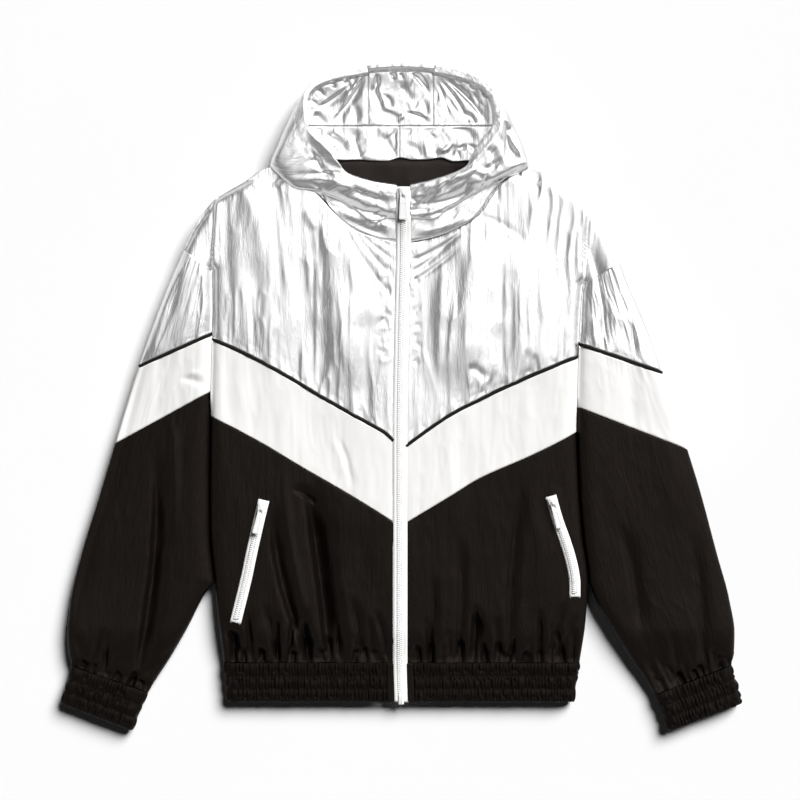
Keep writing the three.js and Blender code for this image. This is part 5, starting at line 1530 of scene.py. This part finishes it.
def hood_side(piece):
    """One side of the hood: casing, lip, rounded side and the edge turned in to its seam."""
    side = piece.name
    lip, fold, seam = hood_lines(side)
    over = smooth(seam[:, 2])
    base = over * (top_height(piece.body_edges, seam[:, 0], seam[:, 1])[0] + 0.6)
    way = np.gradient(lip[:, :2], axis=0)
    inward = unit(np.column_stack([way[:, 1], -way[:, 0]]) * -piece.sign)
    wide = curve(CASING["up"], CASING[side])(lip[:, 1])
    fall = mix(1.4 + (-0.42 if side == "right" else 0.02) * wide, 0.5, smooth((lip[:, 1] - 725) / 20))
    wall = mix(6, lip[:, 2] - LINING_FLOOR - 0.6, smooth((lip[:, 1] - 655) / 20))
    columns, weights = [], []

    def column(plan, height, weight):
        columns.append(np.column_stack([plan, height]))
        weights.append(weight + np.zeros(len(lip)))

    for share in (1, 0.66, 0.33):
        plan = lip[:, :2] + inward * (wide + 1.8 * share)[:, None]
        column(plan, lip[:, 2] - mix(fall + 0.3, wall, share), 0.1)
    for share in (1, 0.86, 0.7, 0.54, 0.4, 0.26, 0.12):
        plan = lip[:, :2] + inward * (wide * share)[:, None]
        column(plan, lip[:, 2] - fall * share**1.3, 0.7)
    power = mix(2.0, LOBE_FULLNESS[side], smooth((fold[:, 1] - 640) / 20))
    for angle in quarter_turn(30):
        plan = mix(lip[:, :2], fold[:, :2], math.sin(angle))
        round_share = (1 - math.sin(angle) ** power) ** (1 / power)
        column(plan, mix(fold[:, 2], lip[:, 2], round_share), 1.0)
    outward = ((seam[:, :2] - fold[:, :2]) * (fold[:, :2] - lip[:, :2])).sum(1)
    open_share = smooth(outward / 300)
    reach = np.linalg.norm(seam[:, :2] - fold[:, :2], axis=1)
    bend = np.minimum(1, UNDER_ROLL / reach)
    for angle in quarter_turn(12)[1:]:
        plan = mix(fold[:, :2], seam[:, :2], (bend * (1 - math.cos(angle)))[:, None])
        rounded = math.sin(angle)
        column(plan, mix(fold[:, 2], base, rounded), open_share * (1 - rounded * 0.5))
    for share in (0.25, 0.5, 0.75, 1):
        plan = mix(fold[:, :2], seam[:, :2], mix(bend, 1, share)[:, None])
        column(plan, base - 0.4 * over * (share == 1), open_share * 0.5 * (1 - share))
    grid, weight = np.stack(columns, 1), np.stack(weights, 1)
    x, up = grid[:, :, 0], grid[:, :, 1]
    away = from_lip(x, up)
    run = np.concatenate([[0], np.cumsum(np.linalg.norm(np.diff(lip[:, :2], axis=0), axis=1))])
    along = run[:, None] + 0 * x + piece.sign * 600
    ripple = crumple(x, up, 0.58, 81) + 0.4 * crinkle(along / 1.6, away * 3, 1.0, 83)
    low_spot, high_spot = sorted(((piece.sign * 14, 585), (piece.sign * 110, 665)))
    ripple = ripple + creased(x, up, strewn(34, low_spot, high_spot, 26, 1.1, 20 * piece.sign, 89))
    ripple = ripple * mix(1, 0.4 if side == "right" else 1.1, smooth((np.abs(x) - 92) / 14))
    casing = 1 - smooth((away - 9) / 3)
    ruffle = gathers(along, away, 7, 9, 0.45 if side == "left" else 0.3, 85) * casing
    groove = 0.6 * np.exp(-(((away - 11) / 1.1) ** 2))
    rise = 1.7 * creased(x, up, HOOD_CREASES) * mix(1, 0.4, smooth((-x - 100) / 14))
    grid[:, :, 2] += weight * (ripple * smooth(away / 5) + rise * smooth(away / 4) + ruffle - groove)
    gaps = np.linalg.norm(grid[:, 10:40, :2] - lip[:, None, :2], axis=2)
    CASING_SEAMS[side] = np.array([
        [np.interp(CASING_STITCH, gap, row[:, k]) for k in range(3)]
        for gap, row in zip(gaps, grid[:, 10:40]) if gap[-1] > 15
    ])
    made = cloth(f"hood_{side}", grid, "silver_taffeta", f"hood_side_{side}", probe=10)


def hood_middle():
    """The middle panel, which lies under the lining and comes up round the hood's top."""
    x = np.linspace(HOOD_CENTRE["right"] - 0.6, HOOD_CENTRE["left"] + 0.6, 46)
    top = HOOD_RIM_TOP - 0.0016 * (x - 1) ** 2
    columns = []
    for share in np.linspace(0, 1, 22):
        columns.append(np.column_stack([x, mix(BACK_NECK + 1, top - UNDER_ROLL, share), x * 0]))
    for angle in quarter_turn(9)[1:]:
        up = top - UNDER_ROLL * (1 - math.sin(angle))
        columns.append(np.column_stack([x, up, x * 0 + (1 - math.cos(angle)) * 9]))
    for inset, height in (
        (0.2, 12.5), (0.7, 16.4), (1.4, 18.4), (2.4, 18.9), (4.4, 18.9), (6.2, 18.7), (7.2, 17.4),
        (8, 13), (8.8, 7), (9.6, 3.4),
    ):
        columns.append(np.column_stack([x, top - inset, x * 0 + height]))
    grid = np.stack(columns, 1)
    ruffle = gathers(grid[:, :, 0], 0 * grid[:, :, 0], 5.0, 9, 0.7, 87)
    grid[:, :, 2] += ruffle * smooth((grid[:, :, 2] - 9) / 8)
    made = cloth("hood_middle", grid, "silver_taffeta", "hood_centre", facing=DOWN, probe=5)


def hood_linings():
    """The lining inside the hood, its two-part stand and the dark lining of the neck."""
    rim = LIP[LIP[:, 1] > 745]
    rim_up = curve(rim[:, 0], rim[:, 1])
    shares = np.concatenate([EDGE_ROWS / 60, np.linspace(0.06, 1, 44)])

    def upper(low_x, high_x):
        x = np.linspace(low_x, high_x, max(int(abs(high_x - low_x) / 1.6), 8))
        up = mix(STAND_TOP + 0.2, rim_up(x) - 3.4, shares[:, None])
        return np.stack([x + 0 * up, up], 2)

    centre = upper(HOOD_CENTRE["right"], HOOD_CENTRE["left"])
    lining_cloth("hood_lining_middle", centre, "hood_lining_centre")
    for side, piece in SIDE.items():
        lip = hood_lines(side, 3)[0]
        keep = (lip[:, 1] > 655) & (lip[:, 1] < 758)
        lip_x = curve(lip[keep, 1], lip[keep, 0])
        limit = float(lip_x(STAND_TOP + 24)) - piece.sign * 3.2
        lining_cloth(f"hood_lining_side_{side}", upper(HOOD_CENTRE[side], limit),
                     f"hood_lining_{side}")
        up = np.linspace(BACK_NECK, STAND_TOP - 0.2, 30)
        end = lip_x(up) - piece.sign * 3.2
        x = mix(CENTRE_BACK + 0 * up, end, np.linspace(0, 1, 62)[:, None]).T
        hang = 6 * (noise(x / 17, 0 * x, 97) - 0.5) * smooth((BACK_NECK + 12 - up) / 12)[:, None]
        lining_cloth(f"hood_stand_{side}_cloth", np.stack([x, up[:, None] + hang], 2),
                     f"hood_stand_{side}")
    x, up = np.meshgrid(np.linspace(-96, 94, 76), np.linspace(592, BACK_NECK + 5, 38))
    away = np.minimum(np.abs(BACK_NECK - up), 40)
    z = LINING_FLOOR + 5 * (noise(x / 16, up / 40, 91) - 0.4) * smooth(away / 8) - 0.6
    z = z - 1.6 * smooth((up - BACK_NECK + 4) / 3)
    z = 0.7 + np.logaddexp(0, 3 * (z - 0.7)) / 3
    made = cloth("neck_lining_cloth", np.stack([x, up, z], 2), "black_lining", "neck_lining")


def lining_cloth(name, plan, cad):
    """One piece of the silver lining over a plan of (x, up)."""
    x, up = plan[:, :, 0], plan[:, :, 1]
    away = from_lip(x, up)
    z = LINING_FLOOR + 3 * smooth((LINING_REACH - away) / LINING_REACH)
    edge = np.minimum(np.abs(x - x[:, :1]), np.abs(x - x[:, -1:]))
    ends = np.minimum(up - up[:1], up[-1:] - up)
    ripple = crumple(x, up, 0.28, 93) + 0.45 * crinkle(x, up, 1.0, 95)
    ripple = ripple + creased(x, up, strewn(70, (-120, 680), (122, 790), 34, 0.8, 80, 99), 0, 2.2)
    rise = creased(x, up, INSIDE_CREASES, 0.08, 1.8)
    still = smooth(np.minimum(edge, ends) / 5) * 0.75 + 0.25
    z = z + still * (ripple + rise * 1.6)
    z = z - seam_dip(edge, 0.35, 1.4) - seam_dip(ends, 0.45, 1.4)
    z = LINING_LOW + np.logaddexp(0, 1.6 * (z - LINING_LOW)) / 1.6
    made = cloth(name, np.stack([x, up, z], 2), "silver_taffeta", cad, 0.5)


class JACKET_OT_hood(bpy.types.Operator):
    """Make the opened hood: its sides, middle panel, lining, stand and the dark neck lining"""
    bl_idname = "jacket.hood"
    bl_label = "Hood"

    def execute(self, context):
        for piece in SIDE.values():
            hood_side(piece)
        hood_middle()
        hood_linings()
        return {"FINISHED"}


# ---- Zips ----

def zip_height(up):
    """Height of the cloth that the front zip lies on."""
    return np.where(np.asarray(up) > 540, neck_rise(up), thickness(up)) - TAPE_SINK


def tooth(wide):
    """One moulded tooth, longer across the zip than along it, with chamfered upper edges."""
    outline = (wide / 2, wide / 2, -TOOTH_LENGTH / 2, TOOTH_LENGTH / 2, 0.35, 2)
    profile = ((0, -0.85), (0, 0.5), (0.16, 0.78), (0.4, 0.85))
    return loft([ring(outline, inset, height) for inset, height in profile])


def teeth(path, height):
    """Two interlocked rows of teeth along a line of (x, up, height)."""
    zips = bpy.context.scene.jacket_zips
    points, ways = arc_points(path, zips.tooth_pitch / 2)
    side = unit(np.column_stack([ways[:, 1], -ways[:, 0], ways[:, 0] * 0]))
    rise = np.cross(side, ways)
    sign = np.where(np.arange(len(points)) % 2, 1.0, -1.0)[:, None]
    places = points + side * sign * 1.25 + rise * height
    return repeated(tooth(zips.tooth_width), places, np.stack([side, ways, rise], 1))


# The section of the loop's bar, as shares of its half width and half thickness.
LOOP_SECTION = ((-1, -0.6), (-0.7, -1), (0.7, -1), (1, -0.6), (1, 0.6), (0.7, 1), (-0.7, 1), (-1, 0.6))


def slider_shape(with_back):
    """A die-cast slider with its rounded wings and the arched loop that holds the pull."""
    parts = []
    low, thick = 1.7, 1.3

    def plate(at, wide_low, wide_high, long, tall, soft):
        outline = (wide_low, wide_high, -long / 2, long / 2, 1.8, 5)
        profile = ((soft, at), (0, at + soft), (0, at + tall - soft),
                   (soft * 0.4, at + tall - soft * 0.3), (soft, at + tall))
        return loft([ring(outline, inset, height) for inset, height in profile])

    parts.append(plate(low, 4.0, 5.5, 19, thick, 0.35))
    parts.append(plate(low + thick * 0.6, 2.4, 3.2, 15.5, 0.9, 0.4))
    for sign in (-1, 1):
        parts.append(placed(pillow_box(1.1, 13, 1.9, 0.35), [sign * 4.6, 1.5, low - 0.7]))
    if with_back:
        parts.append(plate(-low - thick, 4.0, 5.5, 19, thick, 0.35))
        parts.append(placed(pillow_box(2.4, 2.2, 2 * low + thick, 0.3), [0, 7.9, -0.3]))
    # the loop: a flat bar bent over the pull's axle
    angles = np.linspace(0, math.pi, 11)
    arch = [(-2.3 * math.cos(a), AXLE_HEIGHT + 2.2 * math.sin(a) - 0.1) for a in angles]
    path = np.array([(-2.5, low + 0.6), *arch, (2.5, low + 0.6)])
    ways = unit(np.gradient(path, axis=0))
    loops = [
        [(1.1 * px, y - wz * pn * 0.5, z + wy * pn * 0.5) for px, pn in LOOP_SECTION]
        for (y, z), (wy, wz) in zip(path, ways)
    ]
    parts.append(loft(loops))
    return merged(parts)


def pull_shape(half):
    """A flat pull tab with a window for the loop at its upper end and softened edges."""
    long, thick, gap, reach = 32, 1.4, 1.7, 5.8
    soft, high, low = 0.3, thick / 2, thick / 2 - long
    wide = half - 1.5
    outer = (half, half * 0.8, low, high, 1.3, 6)
    window = (gap, gap, -reach, -high, 0.7, 6)
    frame_outline = (wide, wide * 0.93, low + 1.6, -10.5, 1.0, 5)
    rim = loft([
        ring(outer, soft, -high), ring(outer, 0, soft - high), ring(outer, 0, high - soft),
        ring(outer, soft, high), ring(window, -soft, high), ring(window, 0, high - soft),
        ring(window, 0, soft - high), ring(window, -soft, -high),
    ], closed=True)
    # a shallow raised frame round the lower part of the tab
    profile = ((0, high - 0.05), (0.15, high + 0.22), (0.55, high + 0.22), (0.75, high - 0.05))
    raised = loft([ring(frame_outline, inset, height) for inset, height in profile], closed=True)
    return merged([rim, raised])


def placed(shape, place, turn=0.0, tilt=0.0):
    """A shape turned about Z, tilted about its own X, and moved to a place in millimetres."""
    points, quads, triangles = shape
    cos, sin = math.cos(tilt), math.sin(tilt)
    points = points @ np.array([[1, 0, 0], [0, cos, -sin], [0, sin, cos]]).T
    cos, sin = math.cos(turn), math.sin(turn)
    points = points @ np.array([[cos, -sin, 0], [sin, cos, 0], [0, 0, 1]]).T
    return points + np.asarray(place, float), quads, triangles


TAPE_PROFILE = table("share rise", """
    0 0.45; 0.12 0.5; 0.26 0.45; 0.34 0.1; 0.6 0.15; 1 0.3;
""")


def zip_tape(side, line):
    """The woven tape on one side of the front zip, from the teeth out to the cloth's edge."""
    out = np.array([SIDES[side], 0, 0.0])
    rows = [line + out * mix(0.6, 8.2 + TAPE_OVERLAP, share) for share in TAPE_PROFILE["share"]]
    grid = np.stack(rows, 1)
    grid[:, :, 2] += TAPE_PROFILE["rise"]
    made = cloth(f"woven_zip_tape_{side}", grid, "zip_tape", f"zip_tape_{side}", TAPE_THICKNESS)


class JACKET_OT_front_zip(bpy.types.Operator):
    """Make the front zip: tapes, moulded teeth, the box at its foot, the slider and its pull"""
    bl_idname = "jacket.front_zip"
    bl_label = "Front zip"

    def execute(self, context):
        up = np.linspace(0, ZIP_TOP, 215)
        line = np.stack([zip_line(up), up, zip_height(up)], 1)
        for side in SIDES:
            zip_tape(side, line)
        up = np.linspace(9, SLIDER_UP - 4, 120)
        chain = np.stack([zip_line(up), up, zip_height(up) + 0.1], 1)
        solid("moulded_teeth", teeth(chain, CHAIN_LIFT - 0.45), "zip_teeth", "zip_chain")
        foot, middle = float(zip_height(3.6)), float(zip_line(0))
        shape = merged([
            placed(pillow_box(6.6, 12.6, 3.4, 0.5), [middle, 3.6, foot + 0.1]),
            placed(pillow_box(2.2, 12.0, 3.9, 0.4), [middle + 0.9, 3.8, foot + 0.2]),
        ])
        solid("catch_box", shape, "zip_teeth", "zip_box")
        low, high = float(zip_height(SLIDER_UP)), float(zip_height(SLIDER_UP + 10))
        tilt = math.atan2(high - low, 10)
        rest = low - TAPE_WALL / 2 + CHAIN_LIFT - SLIDER_SINK
        place = np.array([float(zip_line(SLIDER_UP)), SLIDER_UP, rest])
        slider = placed(slider_shape(True), place, 0, tilt)
        solid("front_slider", slider, "enamelled_zinc", "zip_slider")
        axle = place + np.array([0, -math.sin(tilt), math.cos(tilt)]) * AXLE_HEIGHT
        pull = placed(pull_shape(PULL_HALF_WIDTH["front"]), axle, 0, tilt)
        solid("front_pull_tab", pull, "enamelled_zinc", "zip_pull", "front_pull")
        x, z = float(zip_line(STOPS_UP)), float(zip_height(STOPS_UP))
        stops = [placed(pillow_box(2.2, 4.2, 2.6, 0.4), [x + sign * 2.4, STOPS_UP - 1, z + 0.4])
                 for sign in (-1, 1)]
        solid("zip_top_stops", merged(stops), "zip_teeth")
        return {"FINISHED"}


def pocket_slider(side, joint):
    """A pocket zip's slider and its pull, turned about its joint."""
    axle = (np.array(joint["pos_m"]) - ORIGIN) / MM
    way = np.array(joint["axis"], float)
    turn = math.atan2(-way[1], -way[0])
    slider = placed(slider_shape(False), axle - [0, 0, AXLE_HEIGHT], turn)
    solid(f"pocket_slider_{side}", slider, "enamelled_zinc", f"pocket_{side}_slider")
    pull = placed(pull_shape(PULL_HALF_WIDTH["pocket"]), axle, turn)
    solid(f"pocket_pull_tab_{side}", pull, "enamelled_zinc", f"pocket_{side}_pull",
          f"{side}_pocket_pull")


class JACKET_OT_pocket_zips(bpy.types.Operator):
    """Make the two slanting pocket zips with their stitched tapes, teeth, sliders and pulls"""
    bl_idname = "jacket.pocket_zips"
    bl_label = "Pocket zips"

    def execute(self, context):
        for side in SIDES:
            points, ways = arc_points(POCKETS[side], 2.0)
            height = top_height(SIDE[side].body_edges, points[:, 0], points[:, 1])[0]
            line = np.column_stack([points, height + 1.1])
            across_way = np.column_stack([-ways[:, 1], ways[:, 0], ways[:, 0] * 0])
            half = POCKET_ZIP_WIDTH / 2
            offsets = np.linspace(-1, 1, 11)
            grid = np.stack([line + across_way * half * o for o in offsets], 1)
            grid[:, :, 2] -= 0.5 * np.abs(offsets) ** 8
            grid[[0, -1], :, 2] -= 0.6
            made = cloth(f"pocket_zip_tape_{side}", grid, "zip_tape", f"pocket_tape_{side}",
                         TAPE_THICKNESS)
            chain = teeth(line[3:-3], 0.9)
            solid(f"pocket_teeth_{side}", chain, "zip_teeth", f"pocket_chain_{side}")
            joint = next(j for j in frame["joints"] if j["child"] == f"{side}_pocket_pull")
            pocket_slider(side, joint)
        return {"FINISHED"}


class JACKET_OT_stitching(bpy.types.Operator):
    """Sew the visible topstitching: shoulders, hood casing, front zip and pockets"""
    bl_idname = "jacket.stitching"
    bl_label = "Stitching"

    def execute(self, context):
        white, silver = [], []
        for side, piece in SIDE.items():
            line, ways = arc_points(POCKETS[side], 4)
            normal = np.column_stack([-ways[:, 1], ways[:, 0]])
            for sign in (-1, 1):
                spots = line + normal * sign * (POCKET_ZIP_WIDTH / 2 - POCKET_STITCH)
                height, _ = top_height(piece.body_edges, spots[:, 0], spots[:, 1])
                white.append(np.column_stack([spots, height + 1.1]))
            up = np.linspace(4, ZIP_TOP - 4, 160)
            x = zip_line(up) + piece.sign * (ZIP_WIDTH / 2 - ZIP_STITCH)
            white.append(np.column_stack([x, up, zip_height(up)]))
            lines = seam_curves(side)
            x = np.linspace(piece.sign * 112, piece.sign * 158, 30)
            up = lines["top"](x) - SHOULDER_STITCH
            height = front_height(side, "silver", x, up, lines["piping"](x))
            silver.append(np.column_stack([x, up, height]))
            silver.append(CASING_SEAMS[side])
        stitches("stitching_white", white, "white_thread")
        stitches("stitching_silver", silver, "grey_thread")
        return {"FINISHED"}


# How bright the room is from the floor (0) to straight overhead (1), as a share of the ceiling.
SKY = ((0, 0.8), (0.4, 0.7), (0.56, 0.34), (0.72, 0.2), (0.86, 0.34), (0.94, 0.66), (0.985, 1.0))


KEY_PLACE = (5.4, 6.8, 7.1)


def studio_room(scene, stage):
    """The room that the silver cloth mirrors: pale, with a glow round the softbox."""
    world = bpy.data.worlds.new("studio")
    scene.world = world
    world.use_nodes = True
    tree = world.node_tree
    tree.nodes.clear()
    place = node(tree, "TexCoord")["Generated"]
    overhead = (0.05, 0.12, 0.99)
    lean = node(tree, "VectorMath", {0: place, 1: overhead}, operation="DOT_PRODUCT")["Value"]
    shades = node(tree, "ValToRGB", {"Fac": lean})["Color"]
    ramp = shades.node.color_ramp
    while len(ramp.elements) < len(SKY):
        ramp.elements.new(0.5)
    for element, (height, share) in zip(ramp.elements, SKY):
        element.position = height
        element.color = (share, share, share, 1)
    toward = Vector(KEY_PLACE).normalized()
    facing = node(tree, "VectorMath", {0: place, 1: toward}, operation="DOT_PRODUCT")["Value"]
    glow = node(tree, "MapRange", {
        "Value": facing, "From Min": 0.62, "From Max": 1.0, "To Max": stage.glow,
    }, interpolation_type="SMOOTHSTEP")["Result"]
    level = node(tree, "Math", {0: shades, 1: glow})[0]
    strength = node(tree, "Math", {0: level, 1: stage.ceiling}, operation="MULTIPLY")[0]
    room = node(tree, "Background", {"Strength": strength})[0]
    node(tree, "OutputWorld", {"Surface": room})
    world.cycles_visibility.diffuse = False


def softbox(name, place, power, spread):
    """A softbox far off in one direction, turned towards the garment; the sky gives its shine."""
    light = bpy.data.lights.new(name, "SUN")
    light.energy = power
    light.angle = spread
    made = bpy.data.objects.new(name, light)
    bpy.context.scene.collection.objects.link(made)
    made.location = place
    made.rotation_euler = (-Vector(place)).to_track_quat("-Z", "Y").to_euler()
    made.visible_glossy = False


class JACKET_OT_stage(bpy.types.Operator):
    """Make the pale floor, the studio lights and the camera straight above"""
    bl_idname = "jacket.stage"
    bl_label = "Stage"

    def execute(self, context):
        scene = context.scene
        stage = scene.jacket_stage
        scene.view_settings.view_transform = "Standard"
        ground = ORIGIN[2]
        bpy.ops.mesh.primitive_plane_add(size=60, location=(0, 0, ground - 0.0002))
        floor = context.object
        floor.name = "floor"
        floor.data.materials.append(finish("floor_paint"))
        studio_room(scene, stage)
        softbox("key_softbox", KEY_PLACE, stage.key_power, stage.key_spread)
        softbox("fill", (-3.0, -2.0, 7.0), stage.fill_power, stage.key_spread)
        camera = bpy.data.objects.new("camera", bpy.data.cameras.new("camera"))
        camera.data.lens = stage.lens
        camera.data.sensor_width = 36
        camera.data.clip_end = 50
        camera.location = (stage.camera_x, stage.camera_y, ground + stage.camera_height)
        scene.collection.objects.link(camera)
        scene.camera = camera
        return {"FINISHED"}


def colour(name, code, description):
    """A colour that a user may change, given as an sRGB hex."""
    return bpy.props.FloatVectorProperty(
        name=name, description=description, default=linear(code), size=4, min=0, max=1,
        subtype="COLOR",
    )


def amount(name, default, description, low=0.0, **kind):
    """A number that a user may change."""
    return bpy.props.FloatProperty(
        name=name, description=description, default=default, min=low, **kind,
    )


class JacketCloth(bpy.types.PropertyGroup):
    silver: colour("Silver film", "#efefef", "The taffeta of the yokes, sleeve heads and hood")
    white: colour("White", "#f4f3f1", "The taffeta of the chest and sleeve bands")
    black: colour("Black", "#120e0c", "The taffeta of the lower body and sleeves")
    black_sheen: colour("Black sheen", "#fff0e6", "The colour that the black cloth reflects")
    piping: colour("Piping", "#1f1d1b", "The cord between silver and white")
    lining: colour("Neck lining", "#2f2a28", "The knit inside the neck")
    silver_crush: amount("Silver crush", 1.0, "Depth of the long creases of the silver cloth")
    black_ripple: amount("Black ripple", 1.3, "Depth of the soft ripples of the black cloth")
    white_ripple: amount("White ripple", 1.0, "Depth of the soft ripples of the white cloth")
    hem_pleats: amount("Hem pleats", 6.4, "Depth in mm of the pleats that leave the elastic")
    rib_depth: amount("Rib depth", 3.1, "Depth in mm of the ruffles of the elastic")


class JacketZips(bpy.types.PropertyGroup):
    tape: colour("Tape", "#fefefd", "The woven tapes")
    teeth: colour("Teeth", "#fdfdfc", "The moulded teeth, box and stops")
    enamel: colour("Enamel", "#f8f8f7", "The sliders and pulls")
    tooth_pitch: amount("Tooth pitch", 2.6, "From one tooth to the next on one side, in mm", 1.8)
    tooth_width: amount("Tooth width", 4.4, "Length of a tooth across the zip, in mm", 1.0)


class JacketStitches(bpy.types.PropertyGroup):
    on_white: colour("Thread on white", "#dddbd8", "The thread beside the zips")
    on_silver: colour("Thread on silver", "#b4b2ae", "The thread on the hood and shoulders")
    length: amount("Stitch", 2.6, "Length of a stitch in mm", 0.5)
    pitch: amount("Pitch", 3.4, "From one stitch to the next in mm", 1.0)
    thickness: amount("Thread", 0.42, "Thickness of the thread in mm", 0.1)


class JacketStage(bpy.types.PropertyGroup):
    floor: colour("Floor", "#fbfbfb", "Colour of the floor")
    key_power: amount("Key softbox", 5.05, "Strength of the softbox at the upper right")
    key_spread: amount("Key spread", 0.55, "Angle that the softbox fills", subtype="ANGLE")
    fill_power: amount("Fill", 0.04, "Strength of the weak fill from the lower left")
    glow: amount("Glow", 2.0, "How much the softbox brightens the room around it")
    ceiling: amount("Ceiling", 1.36, "Brightness of the room overhead")
    lens: amount("Lens", 85, "Focal length", subtype="DISTANCE_CAMERA")
    camera_height: amount("Camera height", 2.376, "Height above the floor", subtype="DISTANCE")
    camera_x: amount("Camera across", -0.0018, "Sideways from the middle", -5.0, subtype="DISTANCE")
    camera_y: amount("Camera along", -0.001, "Along from the middle", -5.0, subtype="DISTANCE")


SETTINGS = {
    "jacket_cloth": JacketCloth,
    "jacket_zips": JacketZips,
    "jacket_stitches": JacketStitches,
    "jacket_stage": JacketStage,
}


class JACKET_PT_panel(bpy.types.Panel):
    """Lists the steps that make the jacket"""
    bl_idname = "JACKET_PT_panel"
    bl_label = "Track jacket"
    bl_space_type = "VIEW_3D"
    bl_region_type = "UI"
    bl_category = "Jacket"

    def draw(self, context):
        for step in STEPS:
            self.layout.operator(step.bl_idname)


STEPS = [
    JACKET_OT_stage, JACKET_OT_fronts, JACKET_OT_back, JACKET_OT_sleeves, JACKET_OT_elastic,
    JACKET_OT_hood, JACKET_OT_front_zip, JACKET_OT_pocket_zips, JACKET_OT_stitching,
]
CLASSES = [*SETTINGS.values(), *STEPS, JACKET_PT_panel]


def register():
    for kind in CLASSES:
        bpy.utils.register_class(kind)
    for name, group in SETTINGS.items():
        setattr(bpy.types.Scene, name, bpy.props.PointerProperty(type=group))


def unregister():
    for name in SETTINGS:
        delattr(bpy.types.Scene, name)
    for kind in reversed(CLASSES):
        bpy.utils.unregister_class(kind)


def main():
    register()
    for step in STEPS:
        group, name = step.bl_idname.split(".")
        getattr(getattr(bpy.ops, group), name)()


if __name__ == "__main__":
    main()
